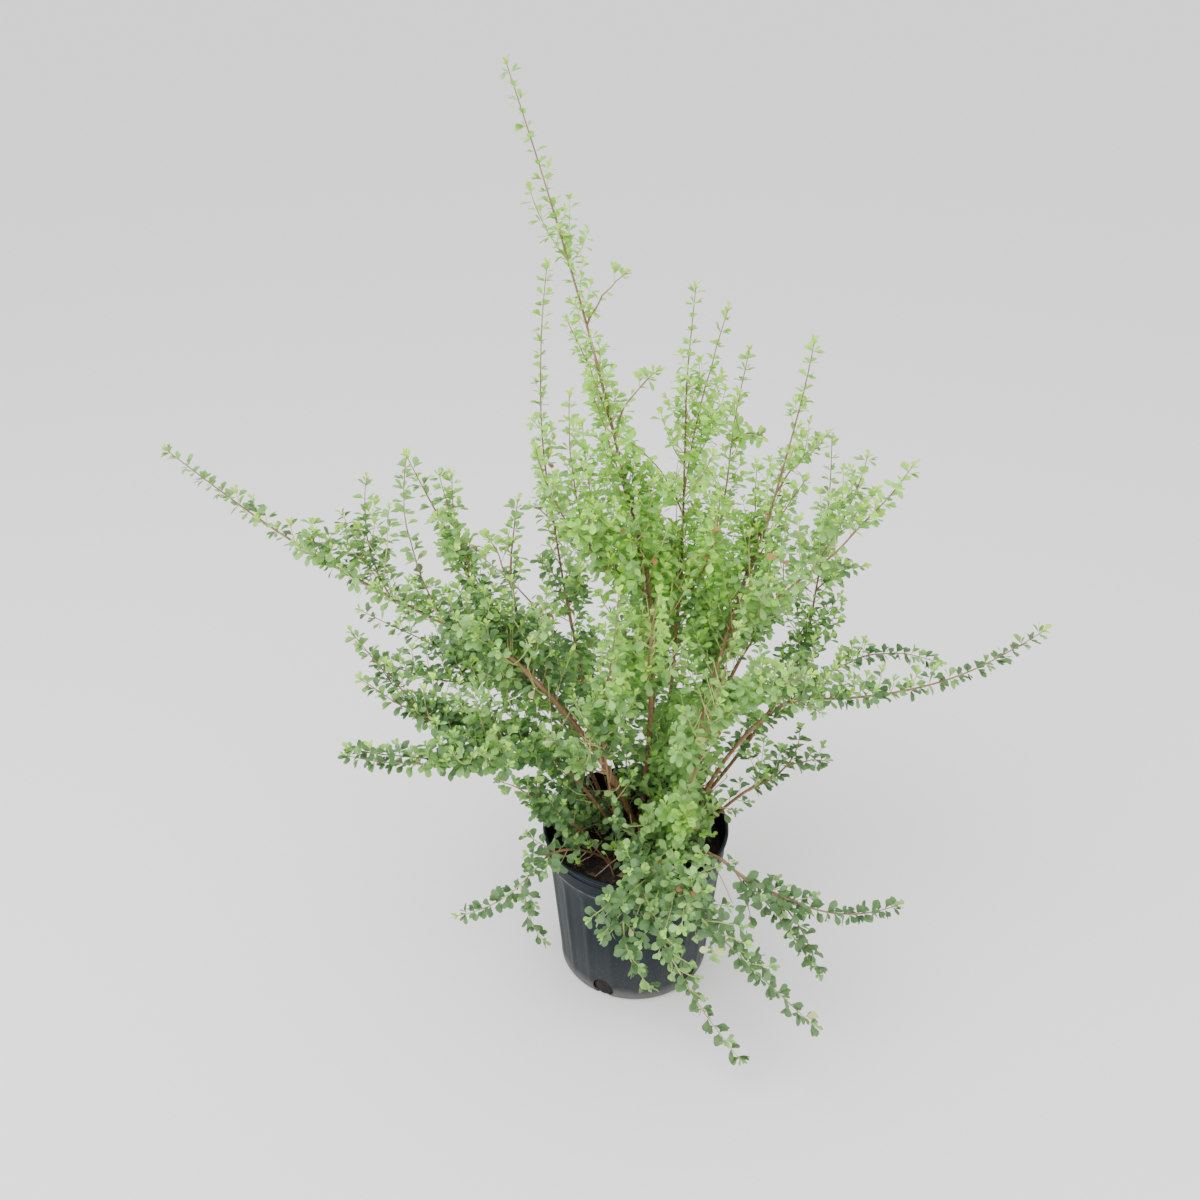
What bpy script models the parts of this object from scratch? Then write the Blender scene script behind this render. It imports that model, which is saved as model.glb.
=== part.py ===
"""Bushy oregano plant in a black nursery pot.

Metres, +Z up. The origin is the middle of the pot's flat underside, +X is the side of the
long bare arm and -Y is the front, where three shoots trail over the rim.

The plant is built as it grows: woody stems rise from the potting mix, each one tapering
limb with a level cut at the soil, and each leafy mass is a thin stem that carries on from a
limb and bears side twigs and opposite pairs of leaves by one seeded rule. A mass keeps to
the space that is nearer to its own stem than to any other mass's, so masses never touch.
"""
import math
import random
from collections import namedtuple

import bmesh
import bpy
from mathutils import Matrix, Vector
from mathutils.bvhtree import BVHTree
from mathutils.kdtree import KDTree

# --- pot ---
POT_HEIGHT = 0.250
RIM_RADIUS = 0.138
FOOT_RADIUS = 0.113
WALL = 0.0022
FLOOR = 0.003
LIP_HEIGHT = 0.009
LIP_DEPTH = 0.0035
BAND_HEIGHT = 0.030
BAND_STEP = 0.0025
BAND_FOOT = POT_HEIGHT - LIP_HEIGHT - BAND_HEIGHT
FOOT_ROUND = 0.006
FLUTES = 20
FLUTE_DEPTH = 0.0018
FLUTE_FADE = 0.012
POT_STEPS = 3 * FLUTES
DRAIN_HOLES = 5
DRAIN_RADIUS = 0.0168
DRAIN_HEIGHT = 0.0148
DRAIN_FIRST = math.radians(244.5)

# --- potting mix ---
SOIL_TOP = 0.222
SOIL_STEPS = 40
SOIL_GAP = 0.0006

# --- fits ---
GAP = 0.0003
CLEAR = 0.0012
GROUND_CLEAR = 0.012
MERGE = 0.00005

# --- woody stems ---
STEM_SIDES = 5
STEM_RINGS = 5
STEM_ROOT = 0.012
COLLAR = 0.004
TIP_JOIN = 0.85
SIDE_JOIN = 0.6

# --- leafy masses ---
TWIG_SIDES = 3
AXIS_RINGS = 7
FORK_RINGS = 4
TIP_RADIUS = 0.0008
FORK_RADIUS = 0.0013
FORK_BOW = 0.12
TWIG_RADIUS = 0.0011
INTERNODE = 0.072
LAST_NODE = 0.985
ROOT_SUNK = 0.3
TWIG_EVERY = 3
TWIG_LENGTH = 0.060
TWIG_ANGLE = math.radians(48)
TWIG_PAIRS = (0.5, 0.97)
TWIG_LEAF = 0.8
LEAF_LENGTH = 0.044
LEAF_WIDTH = 0.56
LEAF_THICKNESS = 0.0014
LEAF_SHOULDER = 0.12
LEAF_APART = 0.015
LEAF_TIP_SCALE = 0.62
LEAF_RISE = math.radians(28)
TURN = math.radians(90)
TURN_WOBBLE = math.radians(16)
SPACE_STEP = 0.006
SPACE_MARGIN = 0.0015

Stem = namedtuple("Stem", "name foot way end thick thin")
Mass = namedtuple("Mass", "name stem at way tip forks")

# A stem's foot on the soil, a point half way up it and its end; radii at foot and end.
STEMS = (
    Stem("leader_stem", (0.01, 0.05), (0.02, 0.03, 0.46), (0.01, 0.04, 0.66), 0.0050, 0.0030),
    Stem("centre_stem", (0.04, 0.06), (0.05, 0.06, 0.45), (0.06, 0.08, 0.64), 0.0040, 0.0026),
    Stem("back_stem", (0.06, 0.08), (0.10, 0.11, 0.38), (0.11, 0.15, 0.56), 0.0032, 0.0022),
    Stem("right_stem", (0.06, 0.03), (0.09, 0.01, 0.42), (0.13, 0.03, 0.60), 0.0042, 0.0028),
    Stem("bare_stem", (0.08, 0.05), (0.19, 0.07, 0.39), (0.25, 0.11, 0.51), 0.0032, 0.0022),
    Stem("arm_stem", (0.08, 0.02), (0.14, -0.01, 0.40), (0.22, -0.02, 0.49), 0.0036, 0.0026),
    Stem("dry_stem", (0.09, 0.00), (0.14, 0.00, 0.29), (0.20, 0.02, 0.32), 0.0030, 0.0022),
    Stem("left_stem", (0.00, 0.03), (-0.07, 0.00, 0.40), (-0.18, -0.03, 0.57), 0.0055, 0.0034),
    Stem("thin_stem", (-0.02, 0.06), (-0.07, 0.07, 0.42), (-0.10, 0.08, 0.60), 0.0030, 0.0020),
    Stem("low_left_stem", (-0.03, 0.01), (-0.09, -0.02, 0.35), (-0.17, -0.04, 0.44), 0.0036, 0.0024),
    Stem("far_left_stem", (-0.04, 0.05), (-0.10, 0.09, 0.35), (-0.18, 0.12, 0.43), 0.0034, 0.0024),
    Stem("skirt_stem", (-0.06, -0.02), (-0.09, -0.04, 0.28), (-0.13, -0.06, 0.32), 0.0028, 0.0022),
    Stem("trail_left_stem", (-0.04, -0.05), (-0.09, -0.08, 0.27), (-0.13, -0.11, 0.28), 0.0026, 0.0020),
    Stem("trail_front_stem", (0.03, -0.04), (0.03, -0.10, 0.27), (0.03, -0.15, 0.28), 0.0028, 0.0022),
    Stem("trail_drop_stem", (0.00, -0.05), (0.00, -0.10, 0.265), (0.00, -0.15, 0.27), 0.0026, 0.0020),
    Stem("trail_side_stem", (0.07, -0.05), (0.10, -0.09, 0.27), (0.13, -0.12, 0.27), 0.0028, 0.0022),
    Stem("heart_left_stem", (-0.02, -0.02), (-0.04, -0.05, 0.36), (-0.05, -0.06, 0.47), 0.0032, 0.0022),
    Stem("heart_right_stem", (0.05, -0.01), (0.07, -0.05, 0.35), (0.09, -0.07, 0.45), 0.0032, 0.0022),
    Stem("arch_left_stem", (-0.01, 0.08), (-0.06, 0.15, 0.35), (-0.11, 0.21, 0.43), 0.0034, 0.0024),
    Stem("arch_back_stem", (0.02, 0.09), (0.03, 0.16, 0.35), (0.03, 0.23, 0.44), 0.0034, 0.0024),
    Stem("arch_right_stem", (0.07, 0.07), (0.12, 0.14, 0.34), (0.17, 0.20, 0.42), 0.0034, 0.0024),
    Stem("arch_low_stem", (0.05, 0.10), (0.07, 0.13, 0.28), (0.10, 0.18, 0.29), 0.0028, 0.0022),
)

# The stem that a mass grows on, how far up that stem, a point half way along the mass and
# its tip. Its forks are (how far along the mass, tip).
MASSES = (
    Mass("leader_top", "leader_stem", 1.0, (-0.07, 0.08, 0.98), (-0.16, 0.10, 1.28),
         ((0.62, (-0.09, 0.13, 1.07)), (0.50, (-0.02, 0.10, 1.04)), (0.26, (0.02, 0.03, 0.94)))),
    Mass("leader_fan", "leader_stem", 0.9, (-0.08, -0.02, 0.73), (-0.13, -0.05, 0.87),
         ((0.40, (-0.06, -0.06, 0.80)),)),
    Mass("leader_inner", "leader_stem", 0.55, (0.01, -0.06, 0.57), (0.02, -0.08, 0.69), ()),
    Mass("centre_top", "centre_stem", 1.0, (0.06, 0.12, 0.84), (0.07, 0.15, 1.01),
         ((0.25, (0.11, 0.12, 0.99)), (0.18, (-0.04, 0.00, 0.87)))),
    Mass("centre_side", "centre_stem", 0.85, (0.09, 0.02, 0.68), (0.10, 0.01, 0.78), ()),
    Mass("back_spire", "back_stem", 1.0, (0.13, 0.19, 0.76), (0.15, 0.20, 0.91),
         ((0.55, (0.17, 0.13, 0.81)),)),
    Mass("right_top", "right_stem", 1.0, (0.18, 0.04, 0.79), (0.21, 0.05, 0.97),
         ((0.45, (0.25, 0.10, 0.83)),)),
    Mass("right_side", "right_stem", 0.92, (0.24, -0.05, 0.73), (0.31, -0.10, 0.87),
         ((0.40, (0.28, 0.00, 0.84)),)),
    Mass("right_inner", "right_stem", 0.6, (0.16, -0.08, 0.54), (0.21, -0.13, 0.60), ()),
    Mass("bare_top", "bare_stem", 1.0, (0.27, 0.15, 0.65), (0.27, 0.18, 0.79),
         ((0.25, (0.32, 0.10, 0.63)),)),
    Mass("arm_tip", "arm_stem", 1.0, (0.38, -0.04, 0.52), (0.53, -0.04, 0.61), ()),
    Mass("arm_loop", "arm_stem", 0.93, (0.33, 0.07, 0.50), (0.43, 0.05, 0.50), ()),
    Mass("dry_top", "dry_stem", 1.0, (0.23, 0.03, 0.35), (0.24, 0.05, 0.39),
         ((0.30, (0.28, 0.02, 0.35)),)),
    Mass("left_tip", "left_stem", 1.0, (-0.40, -0.01, 0.69), (-0.60, 0.02, 0.84),
         ((0.35, (-0.35, 0.02, 0.80)), (0.50, (-0.41, -0.05, 0.76)))),
    Mass("left_rise", "left_stem", 0.95, (-0.24, 0.03, 0.68), (-0.30, 0.03, 0.83),
         ((0.40, (-0.24, 0.01, 0.81)),)),
    Mass("left_inner", "left_stem", 0.85, (-0.17, 0.03, 0.64), (-0.16, 0.04, 0.76),
         ((0.45, (-0.20, 0.00, 0.73)),)),
    Mass("thin_top", "thin_stem", 1.0, (-0.13, 0.12, 0.82), (-0.12, 0.15, 1.04),
         ((0.20, (-0.15, 0.13, 0.71)),)),
    Mass("low_left_tip", "low_left_stem", 1.0, (-0.27, -0.05, 0.46), (-0.35, -0.03, 0.55), ()),
    Mass("low_left_front", "low_left_stem", 0.8, (-0.26, -0.13, 0.44), (-0.38, -0.16, 0.48), ()),
    Mass("far_left_tip", "far_left_stem", 1.0, (-0.30, 0.10, 0.44), (-0.40, 0.08, 0.51), ()),
    Mass("far_left_back", "far_left_stem", 0.85, (-0.30, 0.20, 0.43), (-0.42, 0.20, 0.50), ()),
    Mass("skirt", "skirt_stem", 1.0, (-0.15, -0.08, 0.36), (-0.19, -0.10, 0.40), ()),
    Mass("trail_left", "trail_left_stem", 1.0, (-0.19, -0.16, 0.25), (-0.25, -0.18, 0.24),
         ((0.25, (-0.13, -0.17, 0.18)),)),
    Mass("trail_front", "trail_front_stem", 1.0, (0.12, -0.25, 0.25), (0.23, -0.29, 0.15), ()),
    Mass("trail_drop", "trail_drop_stem", 1.0, (0.06, -0.23, 0.17), (0.14, -0.27, 0.06), ()),
    Mass("trail_hang", "trail_drop_stem", 0.85, (-0.02, -0.18, 0.20), (0.02, -0.19, 0.11), ()),
    Mass("trail_side", "trail_side_stem", 1.0, (0.25, -0.16, 0.23), (0.36, -0.15, 0.23),
         ((0.20, (0.25, -0.20, 0.15)),)),
    Mass("heart_left", "heart_left_stem", 1.0, (-0.04, -0.09, 0.58), (-0.03, -0.10, 0.70), ()),
    Mass("heart_low", "heart_left_stem", 0.6, (-0.08, -0.10, 0.44), (-0.12, -0.12, 0.50), ()),
    Mass("heart_right", "heart_right_stem", 1.0, (0.10, -0.10, 0.56), (0.12, -0.11, 0.66), ()),
    Mass("cluster", "heart_right_stem", 0.25, (0.06, -0.09, 0.33), (0.07, -0.11, 0.37), ()),
    Mass("arch_left", "arch_left_stem", 1.0, (-0.19, 0.28, 0.50), (-0.28, 0.35, 0.54), ()),
    Mass("arch_back", "arch_back_stem", 1.0, (0.04, 0.33, 0.51), (0.04, 0.44, 0.52),
         ((0.30, (-0.05, 0.32, 0.60)),)),
    Mass("arch_right", "arch_right_stem", 1.0, (0.25, 0.27, 0.48), (0.34, 0.33, 0.51), ()),
    Mass("arch_low", "arch_low_stem", 1.0, (0.14, 0.27, 0.30), (0.19, 0.34, 0.27), ()),
)

UP = Vector((0, 0, 1))


# --- scene and materials ---

def empty_scene():
    for thing in list(bpy.data.objects):
        bpy.data.objects.remove(thing, do_unlink=True)


def new_collection(name):
    collection = bpy.data.collections.new(name)
    bpy.context.scene.collection.children.link(collection)
    return collection


def new_material(name, colour, roughness):
    material = bpy.data.materials.new(name)
    material.use_nodes = True
    shader = material.node_tree.nodes["Principled BSDF"]
    shader.inputs["Base Color"].default_value = (*colour, 1.0)
    shader.inputs["Roughness"].default_value = roughness
    shader.inputs["Metallic"].default_value = 0.0
    material.diffuse_color = (*colour, 1.0)
    return material


def add_object(name, mesh, collection, material=None):
    thing = bpy.data.objects.new(name, mesh)
    collection.objects.link(thing)
    if material:
        mesh.materials.append(material)
    return thing


def evaluated_mesh(thing):
    """The object's mesh after its modifiers, as a new mesh."""
    graph = bpy.context.evaluated_depsgraph_get()
    return bpy.data.meshes.new_from_object(thing.evaluated_get(graph))


def mesh_from(bm, name):
    mesh = bpy.data.meshes.new(name)
    bm.to_mesh(mesh)
    bm.free()
    return mesh


def shade_round(mesh):
    mesh.shade_smooth()
    mesh.set_sharp_from_angle(angle=math.radians(35))


# --- pot and potting mix ---

def wall_radius(height):
    """Outer radius of the pot's plain tapering wall."""
    return FOOT_RADIUS + (RIM_RADIUS - LIP_DEPTH - FOOT_RADIUS) * height / POT_HEIGHT


def pot_profile():
    """Half section from the middle of the floor, up the inside, over the lip and down."""
    inside_foot = FLOOR + FOOT_ROUND / 2
    round_end = wall_radius(0) - FOOT_ROUND
    lip_foot = POT_HEIGHT - LIP_HEIGHT
    flute_rings = (FOOT_ROUND + FLUTE_FADE, BAND_FOOT - FLUTE_FADE)
    return (
        (0, FLOOR),
        (round_end - WALL, FLOOR),
        (wall_radius(inside_foot) - WALL, inside_foot),
        *((wall_radius(height) - WALL, height) for height in flute_rings),
        (wall_radius(BAND_FOOT) - WALL, BAND_FOOT),
        (wall_radius(POT_HEIGHT) - WALL, POT_HEIGHT - WALL / 2),
        (wall_radius(POT_HEIGHT) + LIP_DEPTH / 2, POT_HEIGHT),
        (RIM_RADIUS, POT_HEIGHT - LIP_HEIGHT / 3),
        (RIM_RADIUS - WALL / 4, lip_foot),
        (wall_radius(BAND_FOOT) + BAND_STEP, BAND_FOOT + BAND_STEP),
        (wall_radius(BAND_FOOT), BAND_FOOT),
        *((wall_radius(height), height) for height in reversed(flute_rings)),
        (wall_radius(FOOT_ROUND), FOOT_ROUND),
        (round_end, 0),
        (0, 0),
    )


def turned(name, profile, steps):
    """Mesh of a half section turned about the Z axis."""
    bm = bmesh.new()
    corners = [bm.verts.new((radius, 0, height)) for radius, height in profile]
    for first, second in zip(corners, corners[1:]):
        bm.edges.new((first, second))
    thing = add_object(name, mesh_from(bm, name), bpy.context.scene.collection)
    screw = thing.modifiers.new("turn", "SCREW")
    screw.steps = steps
    screw.render_steps = steps
    screw.use_merge_vertices = True
    screw.merge_threshold = MERGE
    mesh = evaluated_mesh(thing)
    bpy.data.objects.remove(thing)
    return mesh


def press_flutes(mesh):
    """Push the wall in along its upright flutes, between the foot and the band."""
    for vert in mesh.vertices:
        if not FOOT_ROUND + MERGE < vert.co.z < BAND_FOOT - MERGE:
            continue
        wave = 0.5 - 0.5 * math.cos(FLUTES * math.atan2(vert.co.y, vert.co.x))
        radius = vert.co.xy.length
        if radius > wall_radius(vert.co.z) - 2 * WALL:
            vert.co.xy *= (radius - FLUTE_DEPTH * wave) / radius


def make_pot(parts, cutters, material):
    mesh = turned("pot", pot_profile(), POT_STEPS)
    press_flutes(mesh)
    shade_round(mesh)
    pot = add_object("pot", mesh, parts, material)
    for hole in range(DRAIN_HOLES):
        angle = DRAIN_FIRST + hole * math.tau / DRAIN_HOLES
        outward = Vector((math.cos(angle), math.sin(angle), 0))
        bm = bmesh.new()
        place = Matrix.Translation(outward * FOOT_RADIUS + UP * DRAIN_HEIGHT)
        bmesh.ops.create_cone(
            bm, cap_ends=True, segments=12, radius1=DRAIN_RADIUS, radius2=DRAIN_RADIUS,
            depth=0.03, matrix=place @ outward.to_track_quat("Z", "Y").to_matrix().to_4x4())
        cutter = add_object(f"drain_cutter_{hole + 1}", mesh_from(bm, "drain_cutter"), cutters)
        cutter.hide_render = True
        cutter.display_type = "WIRE"
    cut = pot.modifiers.new("drain_holes", "BOOLEAN")
    cut.operation = "DIFFERENCE"
    cut.operand_type = "COLLECTION"
    cut.collection = cutters
    return pot


def make_soil(parts, material):
    inset = WALL + FLUTE_DEPTH + SOIL_GAP
    foot = FLOOR + GAP
    profile = (
        (0, SOIL_TOP),
        (wall_radius(SOIL_TOP) - inset, SOIL_TOP),
        (wall_radius(foot + FOOT_ROUND) - inset, foot + FOOT_ROUND),
        (wall_radius(foot) - inset - FOOT_ROUND, foot),
        (0, foot),
    )
    mesh = turned("potting_mix", profile, SOIL_STEPS)
    shade_round(mesh)
    return add_object("potting_mix", mesh, parts, material)


# --- stems ---

def arc(start, way, end, rings):
    """Place and direction along a smooth arc through a point half way, in straight lengths."""
    start, way, end = Vector(start), Vector(way), Vector(end)
    pull = 2 * way - (start + end) / 2
    points = []
    for ring in range(rings + 1):
        t = ring / rings
        points.append((1 - t) ** 2 * start + 2 * t * (1 - t) * pull + t ** 2 * end)

    def place(t):
        step = min(int(t * rings), rings - 1)
        first, second = points[step], points[step + 1]
        return first.lerp(second, t * rings - step), (second - first).normalized()
    return place


def arc_length(path):
    points = [path(step / 16)[0] for step in range(17)]
    return sum((b - a).length for a, b in zip(points, points[1:]))


def ring_points(path, rings):
    return [path(ring / rings)[0] for ring in range(rings + 1)]


def tube(name, points, radii, sides):
    """Tapering limb: a poly curve swept with a polygon, as a closed mesh."""
    section = bpy.data.curves.new("section", "CURVE")
    ring = section.splines.new("POLY")
    ring.points.add(sides - 1)
    for corner, point in enumerate(ring.points):
        angle = corner * math.tau / sides
        point.co = (math.cos(angle), math.sin(angle), 0, 1)
    ring.use_cyclic_u = True
    outline = add_object("section", section, bpy.context.scene.collection)
    curve = bpy.data.curves.new(name, "CURVE")
    curve.dimensions = "3D"
    curve.bevel_mode = "OBJECT"
    curve.bevel_object = outline
    curve.use_fill_caps = True
    spline = curve.splines.new("POLY")
    spline.points.add(len(points) - 1)
    for target, point, radius in zip(spline.points, points, radii):
        target.co = (*point, 1)
        target.radius = radius
    limb = add_object(name, curve, bpy.context.scene.collection)
    mesh = evaluated_mesh(limb)
    bpy.data.objects.remove(limb)
    bpy.data.objects.remove(outline)
    bm = bmesh.new()
    bm.from_mesh(mesh)
    bmesh.ops.remove_doubles(bm, verts=bm.verts, dist=MERGE)
    bmesh.ops.recalc_face_normals(bm, faces=bm.faces)
    bm.to_mesh(mesh)
    bm.free()
    return mesh


def cut_level(mesh, height):
    """Cut the limb's foot off level with the soil."""
    bm = bmesh.new()
    bm.from_mesh(mesh)
    geometry = bm.verts[:] + bm.edges[:] + bm.faces[:]
    cut = bmesh.ops.bisect_plane(
        bm, geom=geometry, plane_co=(0, 0, height), plane_no=(0, 0, 1), clear_inner=True)
    rim = [item for item in cut["geom_cut"] if isinstance(item, bmesh.types.BMEdge)]
    bmesh.ops.edgeloop_fill(bm, edges=rim)
    bmesh.ops.recalc_face_normals(bm, faces=bm.faces)
    bm.to_mesh(mesh)
    bm.free()


def stem_path(stem):
    return arc((*stem.foot, SOIL_TOP), stem.way, stem.end, STEM_RINGS)


def stem_radius(stem, t):
    return stem.thick + (stem.thin - stem.thick) * t


def make_stem(stem, parts, material):
    path = stem_path(stem)
    points = ring_points(path, STEM_RINGS)
    points.insert(0, points[0] - path(0)[1] * STEM_ROOT)
    radii = [stem_radius(stem, ring / STEM_RINGS) for ring in range(STEM_RINGS + 1)]
    radii.insert(0, stem.thick)
    mesh = tube(stem.name, points, radii, STEM_SIDES)
    cut_level(mesh, SOIL_TOP + GAP)
    shade_round(mesh)
    return add_object(stem.name, mesh, parts, material)


# --- masses ---

def mass_start(mass, stem):
    """Where a mass's stem leaves its limb, the way it sets off, and its radius there."""
    point, along = stem_path(stem)(mass.at)
    radius = stem_radius(stem, mass.at)
    if mass.at == 1.0:
        return point + along * GAP, along, radius * TIP_JOIN
    outward = Vector(mass.way) - point
    outward -= along * outward.dot(along)
    outward.normalize()
    return point + outward * (radius + GAP), outward, radius * SIDE_JOIN


def mass_paths(mass, stem):
    """The arcs of a mass: its own stem first and then its forks."""
    start, outward, _ = mass_start(mass, stem)
    main = arc(start + outward * COLLAR, mass.way, mass.tip, AXIS_RINGS)
    forks = []
    for at, tip in mass.forks:
        root, along = main(at)
        middle = (root + Vector(tip)) / 2
        length = (Vector(tip) - root).length
        side = (Vector(tip) - root).normalized()
        bow = (along - side * along.dot(side)) * length * FORK_BOW
        forks.append(arc(root, middle + bow, tip, FORK_RINGS))
    return [main] + forks


def space_points(paths):
    """Points along a mass's arcs, closely spaced, that its space is measured from."""
    points = []
    for path in paths:
        count = math.ceil(arc_length(path) / SPACE_STEP)
        points += [path(step / count)[0] for step in range(count + 1)]
    return points


def tree_of(points):
    tree = KDTree(len(points))
    for index, point in enumerate(points):
        tree.insert(point, index)
    tree.balance()
    return tree


class Space:
    """What a mass may fill: nearer to its own stem than to any other, clear of the wood."""

    def __init__(self, own, others, wood):
        self.own = tree_of(own)
        self.others = tree_of(others)
        self.wood = wood
        self.leaves = []

    def crowded(self, middle):
        """True where a leaf here would lie on one that is already there."""
        return any((middle - other).length < LEAF_APART for other in self.leaves)

    def holds(self, mesh):
        """True where the whole piece stays in the space and touches no limb or pot."""
        points = [vert.co.copy() for vert in mesh.vertices]
        middle = sum(points, Vector()) / len(points)
        for point in points + [(point + middle) / 2 for point in points]:
            if point.z < GROUND_CLEAR or self.wood.find_nearest(point)[3] < CLEAR:
                return False
            if self.own.find(point)[2] + SPACE_MARGIN > self.others.find(point)[2]:
                return False
        faces = [tuple(face.vertices) for face in mesh.polygons]
        return not BVHTree.FromPolygons(points, faces).overlap(self.wood)


def side_way(along, turn):
    """A direction square to the twig, turned about it."""
    flat = along.orthogonal().normalized()
    reference = UP.cross(along)
    if reference.length > 0.2:
        flat = reference.normalized()
    return Matrix.Rotation(turn, 3, along) @ flat


def leaf_mesh(root, way, length, sunk):
    """Keeled blade of six faces, widest past its middle, its root sunk in the twig."""
    bm = bmesh.new()
    bmesh.ops.create_uvsphere(bm, u_segments=3, v_segments=2, radius=0.5)
    for vert in bm.verts:
        shoulder = LEAF_SHOULDER if abs(vert.co.z) < 0.25 else 0
        vert.co.x *= LEAF_THICKNESS
        vert.co.y *= length * LEAF_WIDTH
        vert.co.z = (vert.co.z + shoulder) * length
    across = UP.cross(way)
    across = across.normalized() if across.length > 0.1 else Vector((0, 1, 0))
    turn = Matrix((across.cross(way), across, way)).transposed()
    middle = root + way * (length / 2 - sunk)
    bm.transform(Matrix.Translation(middle) @ turn.to_4x4())
    return mesh_from(bm, "leaf")


def twig_mesh(root, way, length, radius):
    """Straight three-sided twig that tapers to its tip."""
    bm = bmesh.new()
    turn = way.to_track_quat("Z", "Y").to_matrix().to_4x4()
    bmesh.ops.create_cone(
        bm, cap_ends=True, segments=TWIG_SIDES, radius1=radius, radius2=TIP_RADIUS * 0.8,
        depth=length, matrix=Matrix.Translation(root + way * length / 2) @ turn)
    return mesh_from(bm, "twig")


def leaf_pair(place, turn, length, sunk, space, pieces, rng):
    """Two opposite leaves; one that would leave the space or touch a limb is skipped."""
    point, along = place
    for side in (0, math.pi):
        outward = side_way(along, turn + side + rng.uniform(-TURN_WOBBLE, TURN_WOBBLE))
        rise = LEAF_RISE + rng.uniform(-0.2, 0.2)
        way = (outward * math.cos(rise) + along * math.sin(rise)).normalized()
        size = length * rng.uniform(0.88, 1.1)
        middle = point + way * size / 2
        leaf = leaf_mesh(point, way, size, sunk)
        if space.holds(leaf) and not space.crowded(middle):
            pieces.append(leaf)
            space.leaves.append(middle)


def grow_along(path, radius, space, pieces, rng):
    """Bear leaf pairs, each a quarter turn from the last, and a side twig now and then."""
    length = arc_length(path)
    nodes = max(2, round(length / INTERNODE))
    for node in range(1, nodes + 1):
        t = min(node / nodes, LAST_NODE)
        point, along = path(t)
        turn = node * TURN
        size = LEAF_LENGTH * (1 + (LEAF_TIP_SCALE - 1) * t)
        thickness = radius + (TIP_RADIUS - radius) * t
        leaf_pair((point, along), turn, size, thickness * ROOT_SUNK, space, pieces, rng)
        if node % TWIG_EVERY == 1 and node < nodes:
            outward = side_way(along, turn + TURN + rng.uniform(-0.4, 0.4))
            outward *= rng.choice((-1, 1))
            way = outward * math.sin(TWIG_ANGLE) + along * math.cos(TWIG_ANGLE)
            grow_twig(point, way.normalized(), (1 - 0.5 * t) * TWIG_LENGTH, space, pieces, rng)


def grow_twig(root, way, length, space, pieces, rng):
    """Side twig with a leaf pair half way and one at its tip."""
    length *= rng.uniform(0.8, 1.15)
    twig = twig_mesh(root, way, length, TWIG_RADIUS)
    if not space.holds(twig):
        return
    pieces.append(twig)
    turn = rng.uniform(0, math.pi)
    size = LEAF_LENGTH * TWIG_LEAF
    for share in TWIG_PAIRS:
        place = (root + way * length * share, way)
        sunk = TIP_RADIUS * ROOT_SUNK
        leaf_pair(place, turn, size * (1.2 - 0.4 * share), sunk, space, pieces, rng)
        turn += TURN


def axis_mesh(path, rings, start_points, radii):
    points = start_points + ring_points(path, rings)
    spread = len(points) - 1
    thick, thin = radii
    sizes = [thick + (thin - thick) * index / spread for index in range(spread + 1)]
    return tube("axis", points, sizes, TWIG_SIDES)


def outer_shell(mesh):
    """Keep only the piece of the mesh that reaches furthest: no scrap, no sealed hollow."""
    bm = bmesh.new()
    bm.from_mesh(mesh)
    unseen = set(bm.verts)
    shells = []
    while unseen:
        shell = set()
        front = [unseen.pop()]
        while front:
            vert = front.pop()
            shell.add(vert)
            near = {edge.other_vert(vert) for edge in vert.link_edges} & unseen
            unseen -= near
            front.extend(near)
        shells.append(shell)
    main = max(shells, key=len)
    loose = [vert for vert in bm.verts if vert not in main]
    bmesh.ops.delete(bm, geom=loose, context="VERTS")
    bmesh.ops.triangulate(bm, faces=bm.faces)
    bm.to_mesh(mesh)
    bm.free()


def fuse(name, axis, pieces, parts, material):
    """Join a mass's stem, twigs and leaves into one closed body."""
    gathered = new_collection(name + "_pieces")
    for piece in pieces:
        add_object("piece", piece, gathered)
    whole = add_object(name, axis, parts)
    join = whole.modifiers.new("join", "BOOLEAN")
    join.operation = "UNION"
    join.operand_type = "COLLECTION"
    join.collection = gathered
    join.solver = "MANIFOLD"
    mesh = evaluated_mesh(whole)
    whole.modifiers.clear()
    outer_shell(mesh)
    whole.data = mesh
    mesh.materials.clear()
    mesh.materials.append(material)
    for thing in list(gathered.objects):
        bpy.data.objects.remove(thing)
    bpy.data.collections.remove(gathered)
    return whole


def make_mass(mass, stem, spaces, wood, parts, material):
    rng = random.Random("oregano " + mass.name)
    start, outward, radius = mass_start(mass, stem)
    paths = mass_paths(mass, stem)
    others = [point for name, points in spaces.items() if name != mass.name
              for point in points]
    space = Space(spaces[mass.name], others, wood)
    axis = axis_mesh(paths[0], AXIS_RINGS, [start], (radius, TIP_RADIUS))
    pieces = []
    for path in paths[1:]:
        pieces.append(axis_mesh(path, FORK_RINGS, [], (FORK_RADIUS, TIP_RADIUS)))
    for number, path in enumerate(paths):
        grow_along(path, FORK_RADIUS if number else radius, space, pieces, rng)
    return fuse(mass.name, axis, pieces, parts, material)


def wood_tree(things):
    """Search tree over the faces of the pot, the potting mix and every limb."""
    points = []
    faces = []
    for thing in things:
        mesh = evaluated_mesh(thing)
        faces += [tuple(len(points) + corner for corner in face.vertices)
                  for face in mesh.polygons]
        points += [vert.co.copy() for vert in mesh.vertices]
    return BVHTree.FromPolygons(points, faces)


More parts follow.
